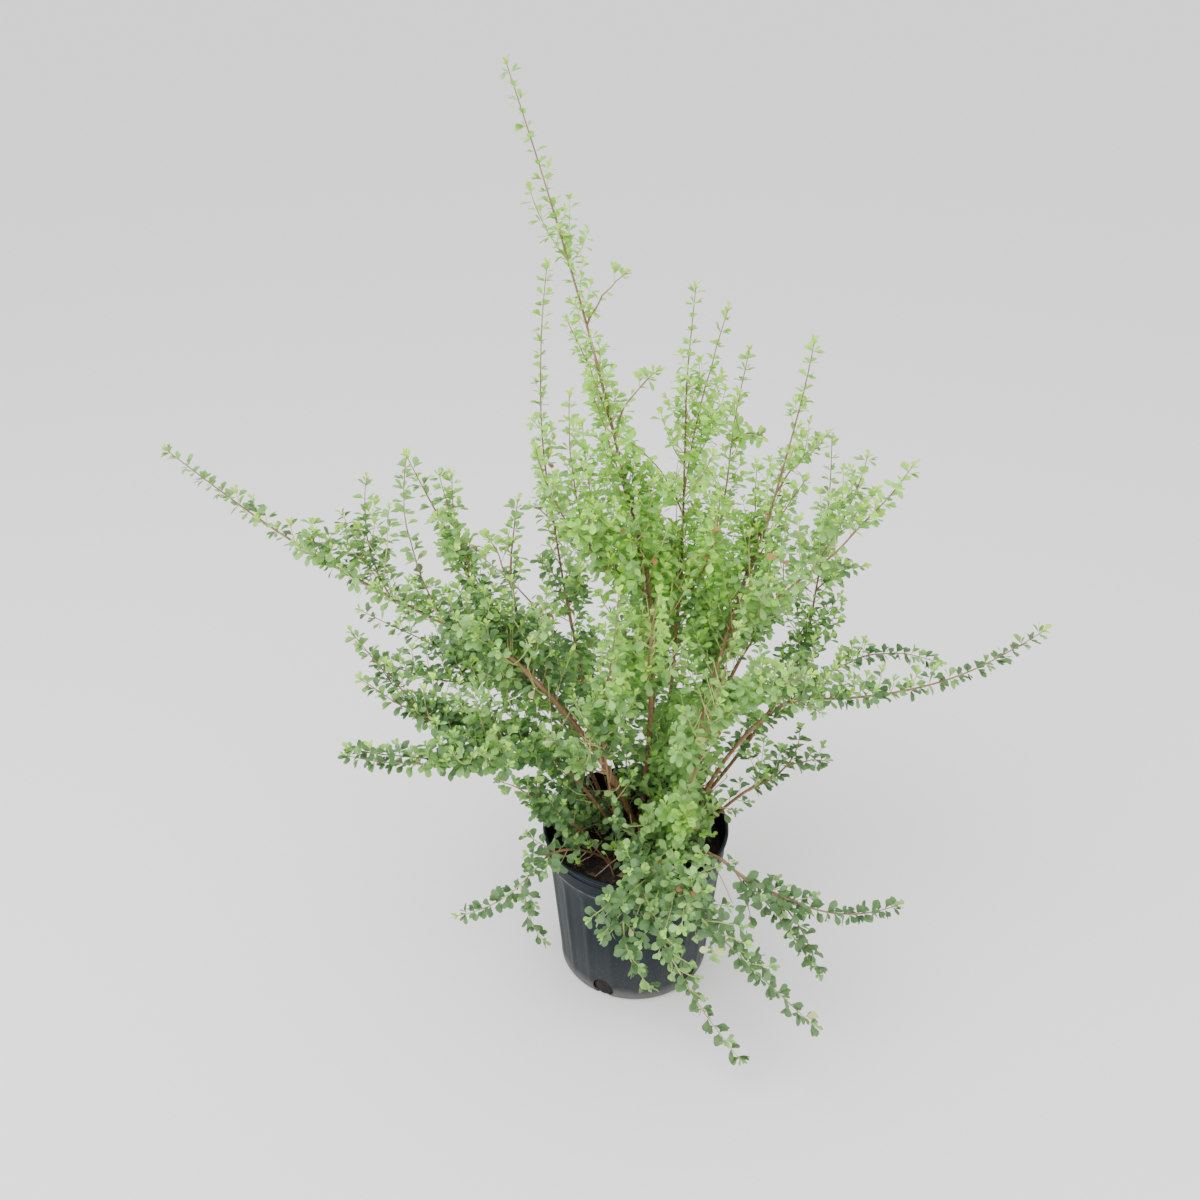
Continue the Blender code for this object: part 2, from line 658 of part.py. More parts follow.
def main():
    empty_scene()
    parts = new_collection("oregano_plant")
    cutters = new_collection("cutters")
    plastic = new_material("black_plastic", (0.035, 0.045, 0.055), 0.45)
    mix = new_material("potting_mix", (0.055, 0.035, 0.022), 0.95)
    bark = new_material("stem_bark", (0.23, 0.13, 0.08), 0.75)
    green = new_material("foliage", (0.11, 0.24, 0.06), 0.55)

    solid = [make_pot(parts, cutters, plastic), make_soil(parts, mix)]
    solid += [make_stem(stem, parts, bark) for stem in STEMS]
    wood = wood_tree(solid)
    stems = {stem.name: stem for stem in STEMS}
    spaces = {mass.name: space_points(mass_paths(mass, stems[mass.stem])) for mass in MASSES}
    for mass in MASSES:
        make_mass(mass, stems[mass.stem], spaces, wood, parts, green)


main()
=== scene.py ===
"""Dressed oregano plant in a nursery pot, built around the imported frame.

Every stem follows the same arc as its solid in the frame and every leafy mass is grown
again by the same rule, carried down to finer twigs and true-sized leaves.
"""
import functools
import math
import random
from collections import namedtuple

import bmesh
import bpy
import numpy as np
from bpy.props import (FloatProperty, FloatVectorProperty, IntProperty, PointerProperty)
from mathutils import Matrix, Vector, noise


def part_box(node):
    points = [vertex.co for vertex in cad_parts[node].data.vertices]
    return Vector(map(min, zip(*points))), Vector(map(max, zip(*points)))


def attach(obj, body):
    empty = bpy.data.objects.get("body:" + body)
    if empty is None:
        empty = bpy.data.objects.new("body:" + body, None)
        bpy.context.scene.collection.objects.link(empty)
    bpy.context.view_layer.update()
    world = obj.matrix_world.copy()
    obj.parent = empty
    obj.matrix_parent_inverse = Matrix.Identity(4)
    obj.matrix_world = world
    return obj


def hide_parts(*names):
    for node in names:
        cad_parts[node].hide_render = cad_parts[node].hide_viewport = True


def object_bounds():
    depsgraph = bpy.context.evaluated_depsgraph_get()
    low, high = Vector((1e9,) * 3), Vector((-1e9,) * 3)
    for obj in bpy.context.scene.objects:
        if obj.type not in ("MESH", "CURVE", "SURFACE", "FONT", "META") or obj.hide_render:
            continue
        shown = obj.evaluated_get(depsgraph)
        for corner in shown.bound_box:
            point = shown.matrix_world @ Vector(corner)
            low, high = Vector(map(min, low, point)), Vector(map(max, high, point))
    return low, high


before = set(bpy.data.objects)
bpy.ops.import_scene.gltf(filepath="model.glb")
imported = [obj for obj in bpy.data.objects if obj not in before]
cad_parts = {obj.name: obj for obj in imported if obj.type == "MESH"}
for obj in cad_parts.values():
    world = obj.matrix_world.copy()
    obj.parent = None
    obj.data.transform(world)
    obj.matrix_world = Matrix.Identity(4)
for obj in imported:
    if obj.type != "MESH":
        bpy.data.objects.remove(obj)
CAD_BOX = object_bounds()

bl_info = {
    "name": "Potted oregano",
    "version": (1, 0, 0),
    "blender": (4, 5, 0),
    "location": "View3D > Sidebar > Oregano",
    "description": "Builds the pot, potting mix, stems, twigs and leaves of an oregano plant",
    "category": "Object",
}

UP = Vector((0, 0, 1))

# Where the plant is looked at from: the camera's place
STAND = (-0.053, -1.394, 1.434)

# --- places taken from the frame ---
POT_LOW, POT_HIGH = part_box("pot")
POT_HEIGHT = POT_HIGH.z - POT_LOW.z
RIM_RADIUS = (POT_HIGH.x - POT_LOW.x) / 2
SOIL_LOW, SOIL_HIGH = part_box("potting_mix")
SOIL_TOP = SOIL_HIGH.z

# The wall's outer radius at the ground, which the pot's box doesn't give
FOOT_RADIUS = 0.113

# --- the plant's plan: stems and masses as in the solids, and how full they grow ---
# A stem: foot on the mix, half way, end, radius at both ends, reach of its own twigs, and
# the thickness of its modelled wood as a share of the solid's
Stem = namedtuple("Stem", "name foot way end thick thin bushy slender", defaults=(0.75, 0.9))
# A mass: its stem, where it leaves it, half way, tip, reach of its side twigs, and its forks.
# A fork: where it leaves, its tip, and its own reach where it is a finer side shoot
Mass = namedtuple("Mass", "name stem at way tip bushy forks", defaults=((),))

STEMS = (
    Stem("leader_stem", (0.01, 0.05), (0.02, 0.03, 0.46), (0.01, 0.04, 0.66), 0.0050, 0.0030),
    Stem("centre_stem", (0.04, 0.06), (0.05, 0.06, 0.45), (0.06, 0.08, 0.64),
         0.0040, 0.0026, 0.75, 0.85),
    Stem("back_stem", (0.06, 0.08), (0.10, 0.11, 0.38), (0.11, 0.15, 0.56), 0.0032, 0.0022),
    Stem("right_stem", (0.06, 0.03), (0.09, 0.01, 0.42), (0.13, 0.03, 0.60), 0.0042, 0.0028),
    Stem("bare_stem", (0.08, 0.05), (0.19, 0.07, 0.39), (0.25, 0.11, 0.51), 0.0032, 0.0022, 0.25),
    Stem("arm_stem", (0.08, 0.02), (0.14, -0.01, 0.40), (0.22, -0.02, 0.49), 0.0036, 0.0026, 0.55),
    Stem("dry_stem", (0.09, 0.00), (0.14, 0.00, 0.29), (0.20, 0.02, 0.32), 0.0030, 0.0022, 0.34),
    Stem("left_stem", (0.00, 0.03), (-0.07, 0.00, 0.40), (-0.18, -0.03, 0.57), 0.0055, 0.0034),
    Stem("thin_stem", (-0.02, 0.06), (-0.07, 0.07, 0.42), (-0.10, 0.08, 0.60), 0.0030, 0.0020),
    Stem("low_left_stem", (-0.03, 0.01), (-0.09, -0.02, 0.35), (-0.17, -0.04, 0.44),
         0.0036, 0.0024, 0.60, 0.75),
    Stem("far_left_stem", (-0.04, 0.05), (-0.10, 0.09, 0.35), (-0.18, 0.12, 0.43),
         0.0034, 0.0024, 0.60),
    Stem("skirt_stem", (-0.06, -0.02), (-0.09, -0.04, 0.28), (-0.13, -0.06, 0.32),
         0.0028, 0.0022, 0.55, 0.80),
    Stem("trail_left_stem", (-0.04, -0.05), (-0.09, -0.08, 0.27), (-0.13, -0.11, 0.28),
         0.0026, 0.0020, 0.35, 0.70),
    Stem("trail_front_stem", (0.03, -0.04), (0.03, -0.10, 0.27), (0.03, -0.15, 0.28),
         0.0028, 0.0022, 0.40, 0.75),
    Stem("trail_drop_stem", (0.00, -0.05), (0.00, -0.10, 0.265), (0.00, -0.15, 0.27),
         0.0026, 0.0020, 0.40, 0.70),
    Stem("trail_side_stem", (0.07, -0.05), (0.10, -0.09, 0.27), (0.13, -0.12, 0.27),
         0.0028, 0.0022, 0.35),
    Stem("heart_left_stem", (-0.02, -0.02), (-0.04, -0.05, 0.36), (-0.05, -0.06, 0.47),
         0.0032, 0.0022, 0.75, 0.55),
    Stem("heart_right_stem", (0.05, -0.01), (0.07, -0.05, 0.35), (0.09, -0.07, 0.45),
         0.0032, 0.0022, 0.75, 0.70),
    Stem("arch_left_stem", (-0.01, 0.08), (-0.06, 0.15, 0.35), (-0.11, 0.21, 0.43),
         0.0034, 0.0024),
    Stem("arch_back_stem", (0.02, 0.09), (0.03, 0.16, 0.35), (0.03, 0.23, 0.44), 0.0034, 0.0024),
    Stem("arch_right_stem", (0.07, 0.07), (0.12, 0.14, 0.34), (0.17, 0.20, 0.42), 0.0034, 0.0024),
    Stem("arch_low_stem", (0.05, 0.10), (0.07, 0.13, 0.28), (0.10, 0.18, 0.29),
         0.0028, 0.0022, 0.50),
)

MASSES = (
    Mass("leader_top", "leader_stem", 1.0, (-0.07, 0.08, 0.98), (-0.16, 0.10, 1.28), 0.85,
         ((0.62, (-0.09, 0.13, 1.07)), (0.50, (-0.02, 0.10, 1.04)), (0.26, (0.02, 0.03, 0.94)),
          (0.04, (-0.065, 0.04, 0.915), 0.85), (0.30, (-0.095, 0.09, 0.985), 0.45))),
    Mass("leader_fan", "leader_stem", 0.90, (-0.08, -0.02, 0.73), (-0.13, -0.05, 0.87), 1.00,
         ((0.40, (-0.06, -0.06, 0.80)), (0.40, (-0.09, 0.00, 0.92), 0.85),
          (0.15, (-0.075, 0.02, 0.875), 0.75))),
    Mass("leader_inner", "leader_stem", 0.55, (0.01, -0.06, 0.57), (0.02, -0.08, 0.69), 1.00,
         ((0.10, (-0.055, -0.01, 0.65), 0.60),)),
    Mass("centre_top", "centre_stem", 1.0, (0.06, 0.12, 0.84), (0.07, 0.15, 1.01), 1.00,
         ((0.25, (0.11, 0.12, 0.99)), (0.18, (-0.04, 0.00, 0.87)))),
    Mass("centre_side", "centre_stem", 0.85, (0.09, 0.02, 0.68), (0.10, 0.01, 0.78), 1.00),
    Mass("back_spire", "back_stem", 1.0, (0.13, 0.19, 0.76), (0.15, 0.20, 0.91), 1.00,
         ((0.55, (0.17, 0.13, 0.81)),)),
    Mass("right_top", "right_stem", 1.0, (0.18, 0.04, 0.79), (0.21, 0.05, 0.97), 1.00,
         ((0.45, (0.25, 0.10, 0.83)), (0.10, (0.21, 0.02, 0.80), 0.50),
          (0.05, (0.15, 0.05, 0.805), 0.35))),
    Mass("right_side", "right_stem", 0.92, (0.24, -0.05, 0.73), (0.31, -0.10, 0.87), 1.00,
         ((0.40, (0.28, 0.00, 0.84)),)),
    Mass("right_inner", "right_stem", 0.60, (0.16, -0.08, 0.54), (0.21, -0.13, 0.60), 1.00,
         ((0.50, (0.235, -0.10, 0.52), 0.40),)),
    Mass("bare_top", "bare_stem", 1.0, (0.27, 0.15, 0.65), (0.27, 0.18, 0.79), 0.85,
         ((0.25, (0.32, 0.10, 0.63)),)),
    Mass("arm_tip", "arm_stem", 1.0, (0.38, -0.04, 0.52), (0.53, -0.04, 0.61), 0.44),
    Mass("arm_loop", "arm_stem", 0.93, (0.33, 0.07, 0.50), (0.43, 0.05, 0.50), 0.44),
    Mass("dry_top", "dry_stem", 1.0, (0.23, 0.03, 0.35), (0.24, 0.05, 0.39), 0.52,
         ((0.30, (0.28, 0.02, 0.35)),)),
    Mass("left_tip", "left_stem", 1.0, (-0.40, -0.01, 0.69), (-0.60, 0.02, 0.84), 0.90,
         ((0.35, (-0.35, 0.02, 0.80)), (0.50, (-0.41, -0.05, 0.76)),
          (0.16, (-0.29, -0.02, 0.85), 0.20))),
    Mass("left_rise", "left_stem", 0.95, (-0.24, 0.03, 0.68), (-0.30, 0.03, 0.83), 0.70,
         ((0.40, (-0.24, 0.01, 0.81)), (0.20, (-0.255, 0.00, 0.815), 0.30))),
    Mass("left_inner", "left_stem", 0.85, (-0.17, 0.03, 0.64), (-0.16, 0.04, 0.76), 0.75,
         ((0.45, (-0.20, 0.00, 0.73)),)),
    Mass("thin_top", "thin_stem", 1.0, (-0.13, 0.12, 0.82), (-0.12, 0.15, 1.04), 0.60,
         ((0.20, (-0.15, 0.13, 0.71)),)),
    Mass("low_left_tip", "low_left_stem", 1.0, (-0.27, -0.05, 0.46), (-0.35, -0.03, 0.55), 0.95,
         ((0.35, (-0.38, -0.04, 0.61), 0.40), (0.20, (-0.365, -0.08, 0.56), 0.50))),
    Mass("low_left_front", "low_left_stem", 0.80, (-0.26, -0.13, 0.44), (-0.38, -0.16, 0.48), 0.95,
         ((0.30, (-0.375, -0.15, 0.50), 0.35),)),
    Mass("far_left_tip", "far_left_stem", 1.0, (-0.30, 0.10, 0.44), (-0.40, 0.08, 0.51), 0.95),
    Mass("far_left_back", "far_left_stem", 0.85, (-0.30, 0.20, 0.43), (-0.42, 0.20, 0.50), 0.90),
    Mass("skirt", "skirt_stem", 1.0, (-0.15, -0.08, 0.36), (-0.19, -0.10, 0.40), 0.55,
         ((0.05, (-0.14, -0.09, 0.40), 0.35),)),
    Mass("trail_left", "trail_left_stem", 1.0, (-0.19, -0.16, 0.25), (-0.25, -0.18, 0.24), 0.32,
         ((0.25, (-0.13, -0.17, 0.18)),)),
    Mass("trail_front", "trail_front_stem", 1.0, (0.12, -0.25, 0.25), (0.23, -0.29, 0.15), 0.58),
    Mass("trail_drop", "trail_drop_stem", 1.0, (0.06, -0.23, 0.17), (0.14, -0.27, 0.06), 0.40),
    Mass("trail_hang", "trail_drop_stem", 0.85, (-0.02, -0.18, 0.20), (0.02, -0.19, 0.11), 0.50),
    Mass("trail_side", "trail_side_stem", 1.0, (0.25, -0.16, 0.23), (0.36, -0.15, 0.23), 0.26,
         ((0.20, (0.25, -0.20, 0.15)), (0.00, (0.24, -0.20, 0.165), 0.18),
          (0.00, (0.155, -0.17, 0.215), 0.12))),
    Mass("heart_left", "heart_left_stem", 1.0, (-0.04, -0.09, 0.58), (-0.03, -0.10, 0.70), 0.95),
    Mass("heart_low", "heart_left_stem", 0.60, (-0.08, -0.10, 0.44), (-0.12, -0.12, 0.50), 0.80),
    Mass("heart_right", "heart_right_stem", 1.0, (0.10, -0.10, 0.56), (0.12, -0.11, 0.66), 0.95),
    Mass("cluster", "heart_right_stem", 0.25, (0.06, -0.09, 0.33), (0.07, -0.11, 0.37), 0.80),
    Mass("arch_left", "arch_left_stem", 1.0, (-0.19, 0.28, 0.50), (-0.28, 0.35, 0.54), 0.80),
    Mass("arch_back", "arch_back_stem", 1.0, (0.04, 0.33, 0.51), (0.04, 0.44, 0.52), 0.80,
         ((0.30, (-0.05, 0.32, 0.60)),)),
    Mass("arch_right", "arch_right_stem", 1.0, (0.25, 0.27, 0.48), (0.34, 0.33, 0.51), 0.80),
    Mass("arch_low", "arch_low_stem", 1.0, (0.14, 0.27, 0.30), (0.19, 0.34, 0.27), 0.60),
)

# Masses with yellow-green leading shoots
RUNNERS = ("trail_left", "trail_front", "trail_drop", "trail_hang")

# Share of a mass's leading shoot that stays bare, where it is more than the limb's own part
BARE_START = {"trail_side": 0.22}

# How much higher a mass's foliage is carried than its solid's middle line
LIFTED = {"low_left_front": UP * 0.018, "skirt": UP * 0.008}

# Open places between the shoots: middle of each one, and its radius
GAPS = (
    ((-0.045, 0.06, 1.035), 0.015),
    ((-0.005, 0.04, 0.900), 0.019),
    ((0.015, 0.04, 0.845), 0.019),
    ((0.035, 0.05, 0.810), 0.018),
    ((0.040, 0.05, 0.735), 0.014),
    ((0.145, 0.08, 0.870), 0.023),
    ((0.175, 0.06, 0.850), 0.019),
    ((0.270, 0.00, 0.715), 0.019),
    ((0.230, 0.00, 0.655), 0.015),
    ((0.130, -0.02, 0.535), 0.018),
    ((0.145, -0.02, 0.565), 0.015),
    ((0.125, -0.05, 0.390), 0.023),
    ((-0.150, 0.00, 0.645), 0.018),
    ((-0.100, 0.00, 0.595), 0.015),
    ((-0.185, 0.00, 0.690), 0.015),
    ((-0.220, 0.02, 0.750), 0.018),
    ((-0.330, -0.03, 0.630), 0.015),
    ((-0.285, -0.03, 0.605), 0.015),
    ((0.245, -0.04, 0.565), 0.015),
    ((-0.057, 0.02, 0.302), 0.026),
    ((-0.050, -0.05, 0.218), 0.024),
    ((0.112, 0.02, 0.305), 0.016),
)
GAP_SHARE = 0.80

# Stems whose wood shows from the front, above this height
OPEN_FRONT = ("leader_stem", "centre_stem", "right_stem", "left_stem")
OPEN_ABOVE = 0.42

# Wood left bare towards the front: shoot, from, to, clear width and share of leaves dropped
BARE_WOOD = (
    ("left_stem", 0.00, 0.95, 0.011, 0.95),
    ("leader_stem", 0.50, 1.00, 0.009, 0.85),
    ("leader_top", 0.05, 0.70, 0.008, 0.85),
    ("centre_stem", 0.60, 1.00, 0.008, 0.80),
    ("centre_top", 0.05, 0.75, 0.008, 0.85),
    ("right_stem", 0.50, 1.00, 0.009, 0.85),
    ("right_top", 0.05, 0.70, 0.008, 0.80),
    ("arm_stem", 0.50, 1.00, 0.007, 0.80),
    ("dry_stem", 0.30, 0.85, 0.006, 0.80),
    ("thin_stem", 0.60, 1.00, 0.006, 0.70),
)

# Rules of growth that the settings panel leaves alone; lengths in metres
BASAL_SHOOTS = 62
BASAL_STEPS = 8
GOLDEN_ANGLE = 2.399963
COVER_SHOOTS = (((0.03, 0.00), (0.015, 0.00, 0.33)), ((0.045, 0.02), (0.03, 0.02, 0.36)))
ROSETTE = Vector((0.060, -0.105, 0.345))
ROSETTE_REACH = 0.035
DRAIN_FIRST = math.radians(244.5)
QUARTER = math.pi / 2
WOBBLE = 0.35
STEM_STEPS = 20
AXIS_STEPS = 18
FORK_STEPS = 10
LIMB_BARE = 0.30
OPEN_LIMB_BARE = 0.12
FORK_BARE = 0.05
FORK_BOW = 0.12
FORK_THICK = 0.0013
FORK_CROWD = 0.8
TWIG_STEPS = 6
TWIG_THIN = 0.00055
SHORTEST_TWIG = 0.018
FORKING_TWIG = 0.065
BUD_LEAVES = 5
SHORTEST_LEAF = 0.002
SMOOTH_PASSES = 3
WANDER = 0.0035
ROOT_DEPTH = 0.012
SHOOT_DEPTH = 0.004
YELLOW_SHARE = 0.004
LEAVES_A_PIECE = 7000

# How far leaves may stand out of the solids' box, and the space that they keep: over the
# floor, over the rim and the mix, and on both sides of the wall
PAST_BOX = 0.006
OVER_FLOOR = 0.006
OVER_RIM = 0.002
OUTSIDE_WALL = 0.003
INSIDE_WALL = 0.008

# A leaf's row: root, way and face take up nine columns, then length, bend, fold and width
LENGTH_COLUMN = 9

# Leaf tones, darkest first; a spray is dealt one of them
DEEP, MID, FRESH_AND_LIT, BUD, YELLOW, WITHERED = range(6)
TONES = ("deep", "mid", "fresh", "bud", "yellow", "withered")


# --- settings ---

def length_prop(name, description, default):
    return FloatProperty(name=name, description=description, default=default,
                         min=0.0, subtype="DISTANCE", unit="LENGTH", precision=4)


def share_prop(name, description, default):
    return FloatProperty(name=name, description=description, default=default,
                         min=0.0, max=1.0, subtype="FACTOR")


def count_prop(name, description, default, least=0):
    return IntProperty(name=name, description=description, default=default, min=least)


def power_prop(name, description, default):
    return FloatProperty(name=name, description=description, default=default,
                         min=0.0, unit="POWER")


def colour_prop(name, description, default):
    return FloatVectorProperty(name=name, description=description, default=default,
                               min=0.0, max=1.0, size=3, subtype="COLOR")


class PotSettings(bpy.types.PropertyGroup):
    """Sizes and colours of the pot and what fills it."""
    foot_radius: length_prop("Foot radius", "Outer radius of the wall at the ground", FOOT_RADIUS)
    wall: length_prop("Wall", "Thickness of the plastic", 0.0022)
    lip: length_prop("Lip", "Height of the rolled lip", 0.009)
    lip_depth: length_prop("Lip depth", "How far the lip stands out of the wall", 0.0035)
    band: length_prop("Band", "Height of the plain band under the lip", 0.030)
    flutes: count_prop("Flutes", "Upright flutes round the wall", 20, 3)
    flute_depth: length_prop("Flute depth", "How deep each flute is pressed in", 0.0021)
    drain_holes: count_prop("Drain holes", "Round holes at the foot", 5)
    drain_radius: length_prop("Drain radius", "Radius of a drain hole", 0.0168)
    drain_height: length_prop("Drain height", "Height of a drain hole's middle", 0.0148)
    plastic: colour_prop("Plastic", "Colour of the clean plastic", (0.0040, 0.0082, 0.0128))
    dust: colour_prop("Dust", "Colour of the dust near the foot", (0.190, 0.188, 0.178))
    soil: colour_prop("Potting mix", "Colour of the moist mix", (0.008, 0.006, 0.005))
    chip: colour_prop("Bark chip", "Colour of the bark chips", (0.062, 0.034, 0.020))
    chips: count_prop("Bark chips", "Chips lying on the mix", 900)
    litter: count_prop("Fallen leaves", "Withered leaves on the mix", 70)


class StemSettings(bpy.types.PropertyGroup):
    """Bark relief and colours of the stems."""
    sides: count_prop("Sides", "Sides of a woody stem", 12, 5)
    ring: length_prop("Ring spacing", "Spacing of the rings along a stem", 0.0035)
    relief: share_prop("Relief", "Depth of the bark's ridges, as a share of radius", 0.13)
    joint: length_prop("Joint spacing", "Spacing of the swollen joints", 0.032)
    bark: colour_prop("Bark", "Colour of old bark", (0.190, 0.092, 0.040))
    bark_pale: colour_prop("Pale bark", "Colour of peeling strips", (0.46, 0.28, 0.15))
    dry: colour_prop("Dry wood", "Colour of dead twigs", (0.46, 0.31, 0.24))
    young: colour_prop("Young bark", "Colour of reddish young wood", (0.22, 0.115, 0.065))
    green: colour_prop("Green shoot", "Colour of soft green shoots", (0.46, 0.50, 0.17))


class LeafSettings(bpy.types.PropertyGroup):
    """Leaf sizes, spacing and tones."""
    big: length_prop("Lowest leaf", "Length of a leaf low on the plant", 0.0216)
    small: length_prop("Highest leaf", "Length of a leaf at the top", 0.0190)
    large: length_prop("Large leaf", "Leaves from this length get the finer outline", 0.0125)
    width: share_prop("Width", "Leaf width as a share of its length", 0.57)
    internode: length_prop("Internode", "Distance between leaf pairs on a shoot", 0.019)
    twig: length_prop("Side twig", "Length of a side twig low on its shoot", 0.120)
    deep: colour_prop("Deep green", "Shaded and old leaves", (0.112, 0.226, 0.076))
    mid: colour_prop("Middle green", "Most leaves", (0.268, 0.490, 0.135))
    fresh: colour_prop("Fresh green", "Leaves of young shoots", (0.385, 0.705, 0.115))
    bud: colour_prop("Bud green", "Tips of the shoots", (0.500, 0.810, 0.090))
    yellow: colour_prop("Yellow", "Leaves that are turning", (0.62, 0.64, 0.24))
    straw: colour_prop("Straw", "Pale dead leaves on the mix", (0.46, 0.40, 0.22))
    withered: colour_prop("Withered", "Dead leaves", (0.42, 0.20, 0.08))


class StageSettings(bpy.types.PropertyGroup):
    """Floor, light and camera."""
    floor: colour_prop("Floor", "Colour of the plain floor", (0.93, 0.93, 0.92))
    key: power_prop("Key light", "Power of the large soft light", 85.0)
    fill: power_prop("Fill light", "Power of the front fill", 25.0)
    sky: FloatProperty(name="Sky", description="Strength of the even surrounding light",
                       default=1.45, min=0.0)
    lens: FloatProperty(name="Lens", description="Focal length on a 36 mm sensor",
                        default=36.3, min=1.0, unit="CAMERA")
    camera: FloatVectorProperty(name="Camera place", description="Where the camera stands",
                                default=STAND, size=3, subtype="TRANSLATION", unit="LENGTH")
    pitch: FloatProperty(name="Pitch", description="How far the camera looks down",
                         default=math.radians(29.9), subtype="ANGLE", unit="ROTATION")


# --- shader expressions ---

class Value:
    """A shader value: arithmetic on it adds Math nodes to its tree."""

    def __init__(self, shader, socket):
        self.shader = shader
        self.socket = socket

    def _math(self, operation, first, second):
        node = self.shader.node("ShaderNodeMath", {"operation": operation}, (first, second))
        return Value(self.shader, node.outputs[0])

    def __add__(self, other):
        return self._math("ADD", self, other)

    __radd__ = __add__

    def __sub__(self, other):
        return self._math("SUBTRACT", self, other)

    def __rsub__(self, other):
        return self._math("SUBTRACT", other, self)

    def __mul__(self, other):
        return self._math("MULTIPLY", self, other)

    __rmul__ = __mul__

    def clamped(self):
        return self.shader.span(self, 0.0, 1.0)


class Shader:
    """One procedural material, written as expressions."""

    def __init__(self, name):
        self.material = bpy.data.materials.new(name)
        self.material.use_nodes = True
        self.tree = self.material.node_tree
        self.surface = self.tree.nodes["Principled BSDF"]
        self.output = self.tree.nodes["Material Output"]
        coordinates = self.node("ShaderNodeTexCoord", {}, ())
        self.object = coordinates.outputs["Object"]

    def node(self, kind, settings, inputs):
        """Adds a node: its settings first, then its sockets by name or in order."""
        node = self.tree.nodes.new(kind)
        for key, value in settings.items():
            setattr(node, key, value)
        pairs = inputs.items() if isinstance(inputs, dict) else enumerate(inputs)
        for key, value in pairs:
            self.feed(node.inputs[key], value)
        return node

    def feed(self, socket, value):
        if isinstance(value, Value):
            value = value.socket
        if isinstance(value, bpy.types.NodeSocket):
            self.tree.links.new(value, socket)
        elif value is not None:
            socket.default_value = value

    def scaled(self, factors):
        """Object coordinates times a vector."""
        node = self.node("ShaderNodeVectorMath", {"operation": "MULTIPLY"},
                         (self.object, factors))
        return node.outputs[0]

    def noise(self, scale, detail=3.0, stretch=(1, 1, 1)):
        node = self.node("ShaderNodeTexNoise", {}, {
            "Vector": self.scaled(stretch), "Scale": scale, "Detail": detail,
            "Roughness": 0.55})
        return Value(self, node.outputs["Fac"])

    def height(self):
        node = self.node("ShaderNodeSeparateXYZ", {}, (self.object,))
        return Value(self, node.outputs["Z"])

    def span(self, value, low, high, soft=False):
        """value from low to high mapped to 0 to 1 and clamped."""
        kind = "SMOOTHSTEP" if soft else "LINEAR"
        node = self.node("ShaderNodeMapRange", {"interpolation_type": kind, "clamp": True}, {
            "Value": value, "From Min": low, "From Max": high})
        return Value(self, node.outputs["Result"])

    def mix(self, factor, first, second):
        """Colour between first and second."""
        node = self.node("ShaderNodeMix", {"data_type": "RGBA"}, {
            0: factor, 6: rgba(first), 7: rgba(second)})
        return node.outputs[2]

    def bump(self, value, distance, strength=1.0):
        node = self.node("ShaderNodeBump", {}, {
            "Height": value, "Distance": distance, "Strength": strength})
        return node.outputs["Normal"]

    def finish(self, **sockets):
        for name, value in sockets.items():
            self.feed(self.surface.inputs[name.replace("_", " ").title()], value)
        return self.material


def rgba(colour):
    if isinstance(colour, bpy.types.NodeSocket):
        return colour
    return (*colour, 1.0)


def times(colour, factor):
    """A plain colour made darker or paler."""
    return [factor * channel for channel in colour]


def plastic_finish(settings):
    """Blow-moulded plastic: soft streaks, fine grain, and dust that thickens to the foot."""
    s = Shader("pot_plastic")
    height = s.height()
    streaks = s.noise(14.0, 4.0, (1, 1, 0.12))
    clouds = s.noise(26.0, 6.0)
    grain = s.noise(900.0, 2.0)
    foot = 1 - s.span(height + 0.014 * clouds, 0.012, 0.034, soft=True)
    low = 1 - s.span(height, 0.02, 0.13, soft=True)
    wipe = s.span(streaks, 0.52, 0.74)
    dust = 0.55 * foot + low * (0.04 + 0.14 * clouds) + 0.05 * wipe
    specks = s.span(s.noise(330.0, 3.0), 0.60, 0.72)
    dust = (dust + specks * (0.04 + 0.22 * low)).clamped()
    # A pale line along the band's lower edge: partly wear, partly a painted highlight where the
    # edge catches the light
    edge = POT_HEIGHT - settings.lip - settings.band
    scuff_and_highlight = s.span(height, edge - 0.0004, edge + 0.0010)
    scuff_and_highlight = scuff_and_highlight * (1 - s.span(height, edge + 0.0032, edge + 0.0048))
    scuff_and_highlight = scuff_and_highlight * (0.25 + 0.75 * s.span(s.noise(60.0, 4.0), 0.40, 0.62))
    sheen = s.mix(s.span(streaks, 0.35, 0.7), settings.plastic, times(settings.plastic, 1.5))
    colour = s.mix(dust, sheen, settings.dust)
    colour = s.mix(scuff_and_highlight * 0.55, colour, settings.dust)
    rough = (0.42 + 0.34 * dust + 0.12 * clouds).clamped()
    s.surface.inputs["Specular IOR Level"].default_value = 0.16
    return s.finish(base_color=colour, roughness=rough,
                    normal=s.bump(grain + 0.6 * clouds, 0.0004, 0.35))


def soil_finish(name, colour, pale):
    """Damp crumbs, pale where they stand up, with dark fibres."""
    s = Shader(name)
    clumps = s.noise(160.0, 6.0)
    fibres = s.noise(420.0, 4.0, (1, 1, 0.4))
    tint = s.mix(s.span(clumps, 0.45, 0.72), colour, pale)
    darker = s.mix(s.span(fibres, 0.55, 0.75), tint, times(colour, 0.4))
    return s.finish(base_color=darker, roughness=0.75 + 0.2 * clumps,
                    normal=s.bump(clumps + 0.5 * fibres, 0.002, 0.8))


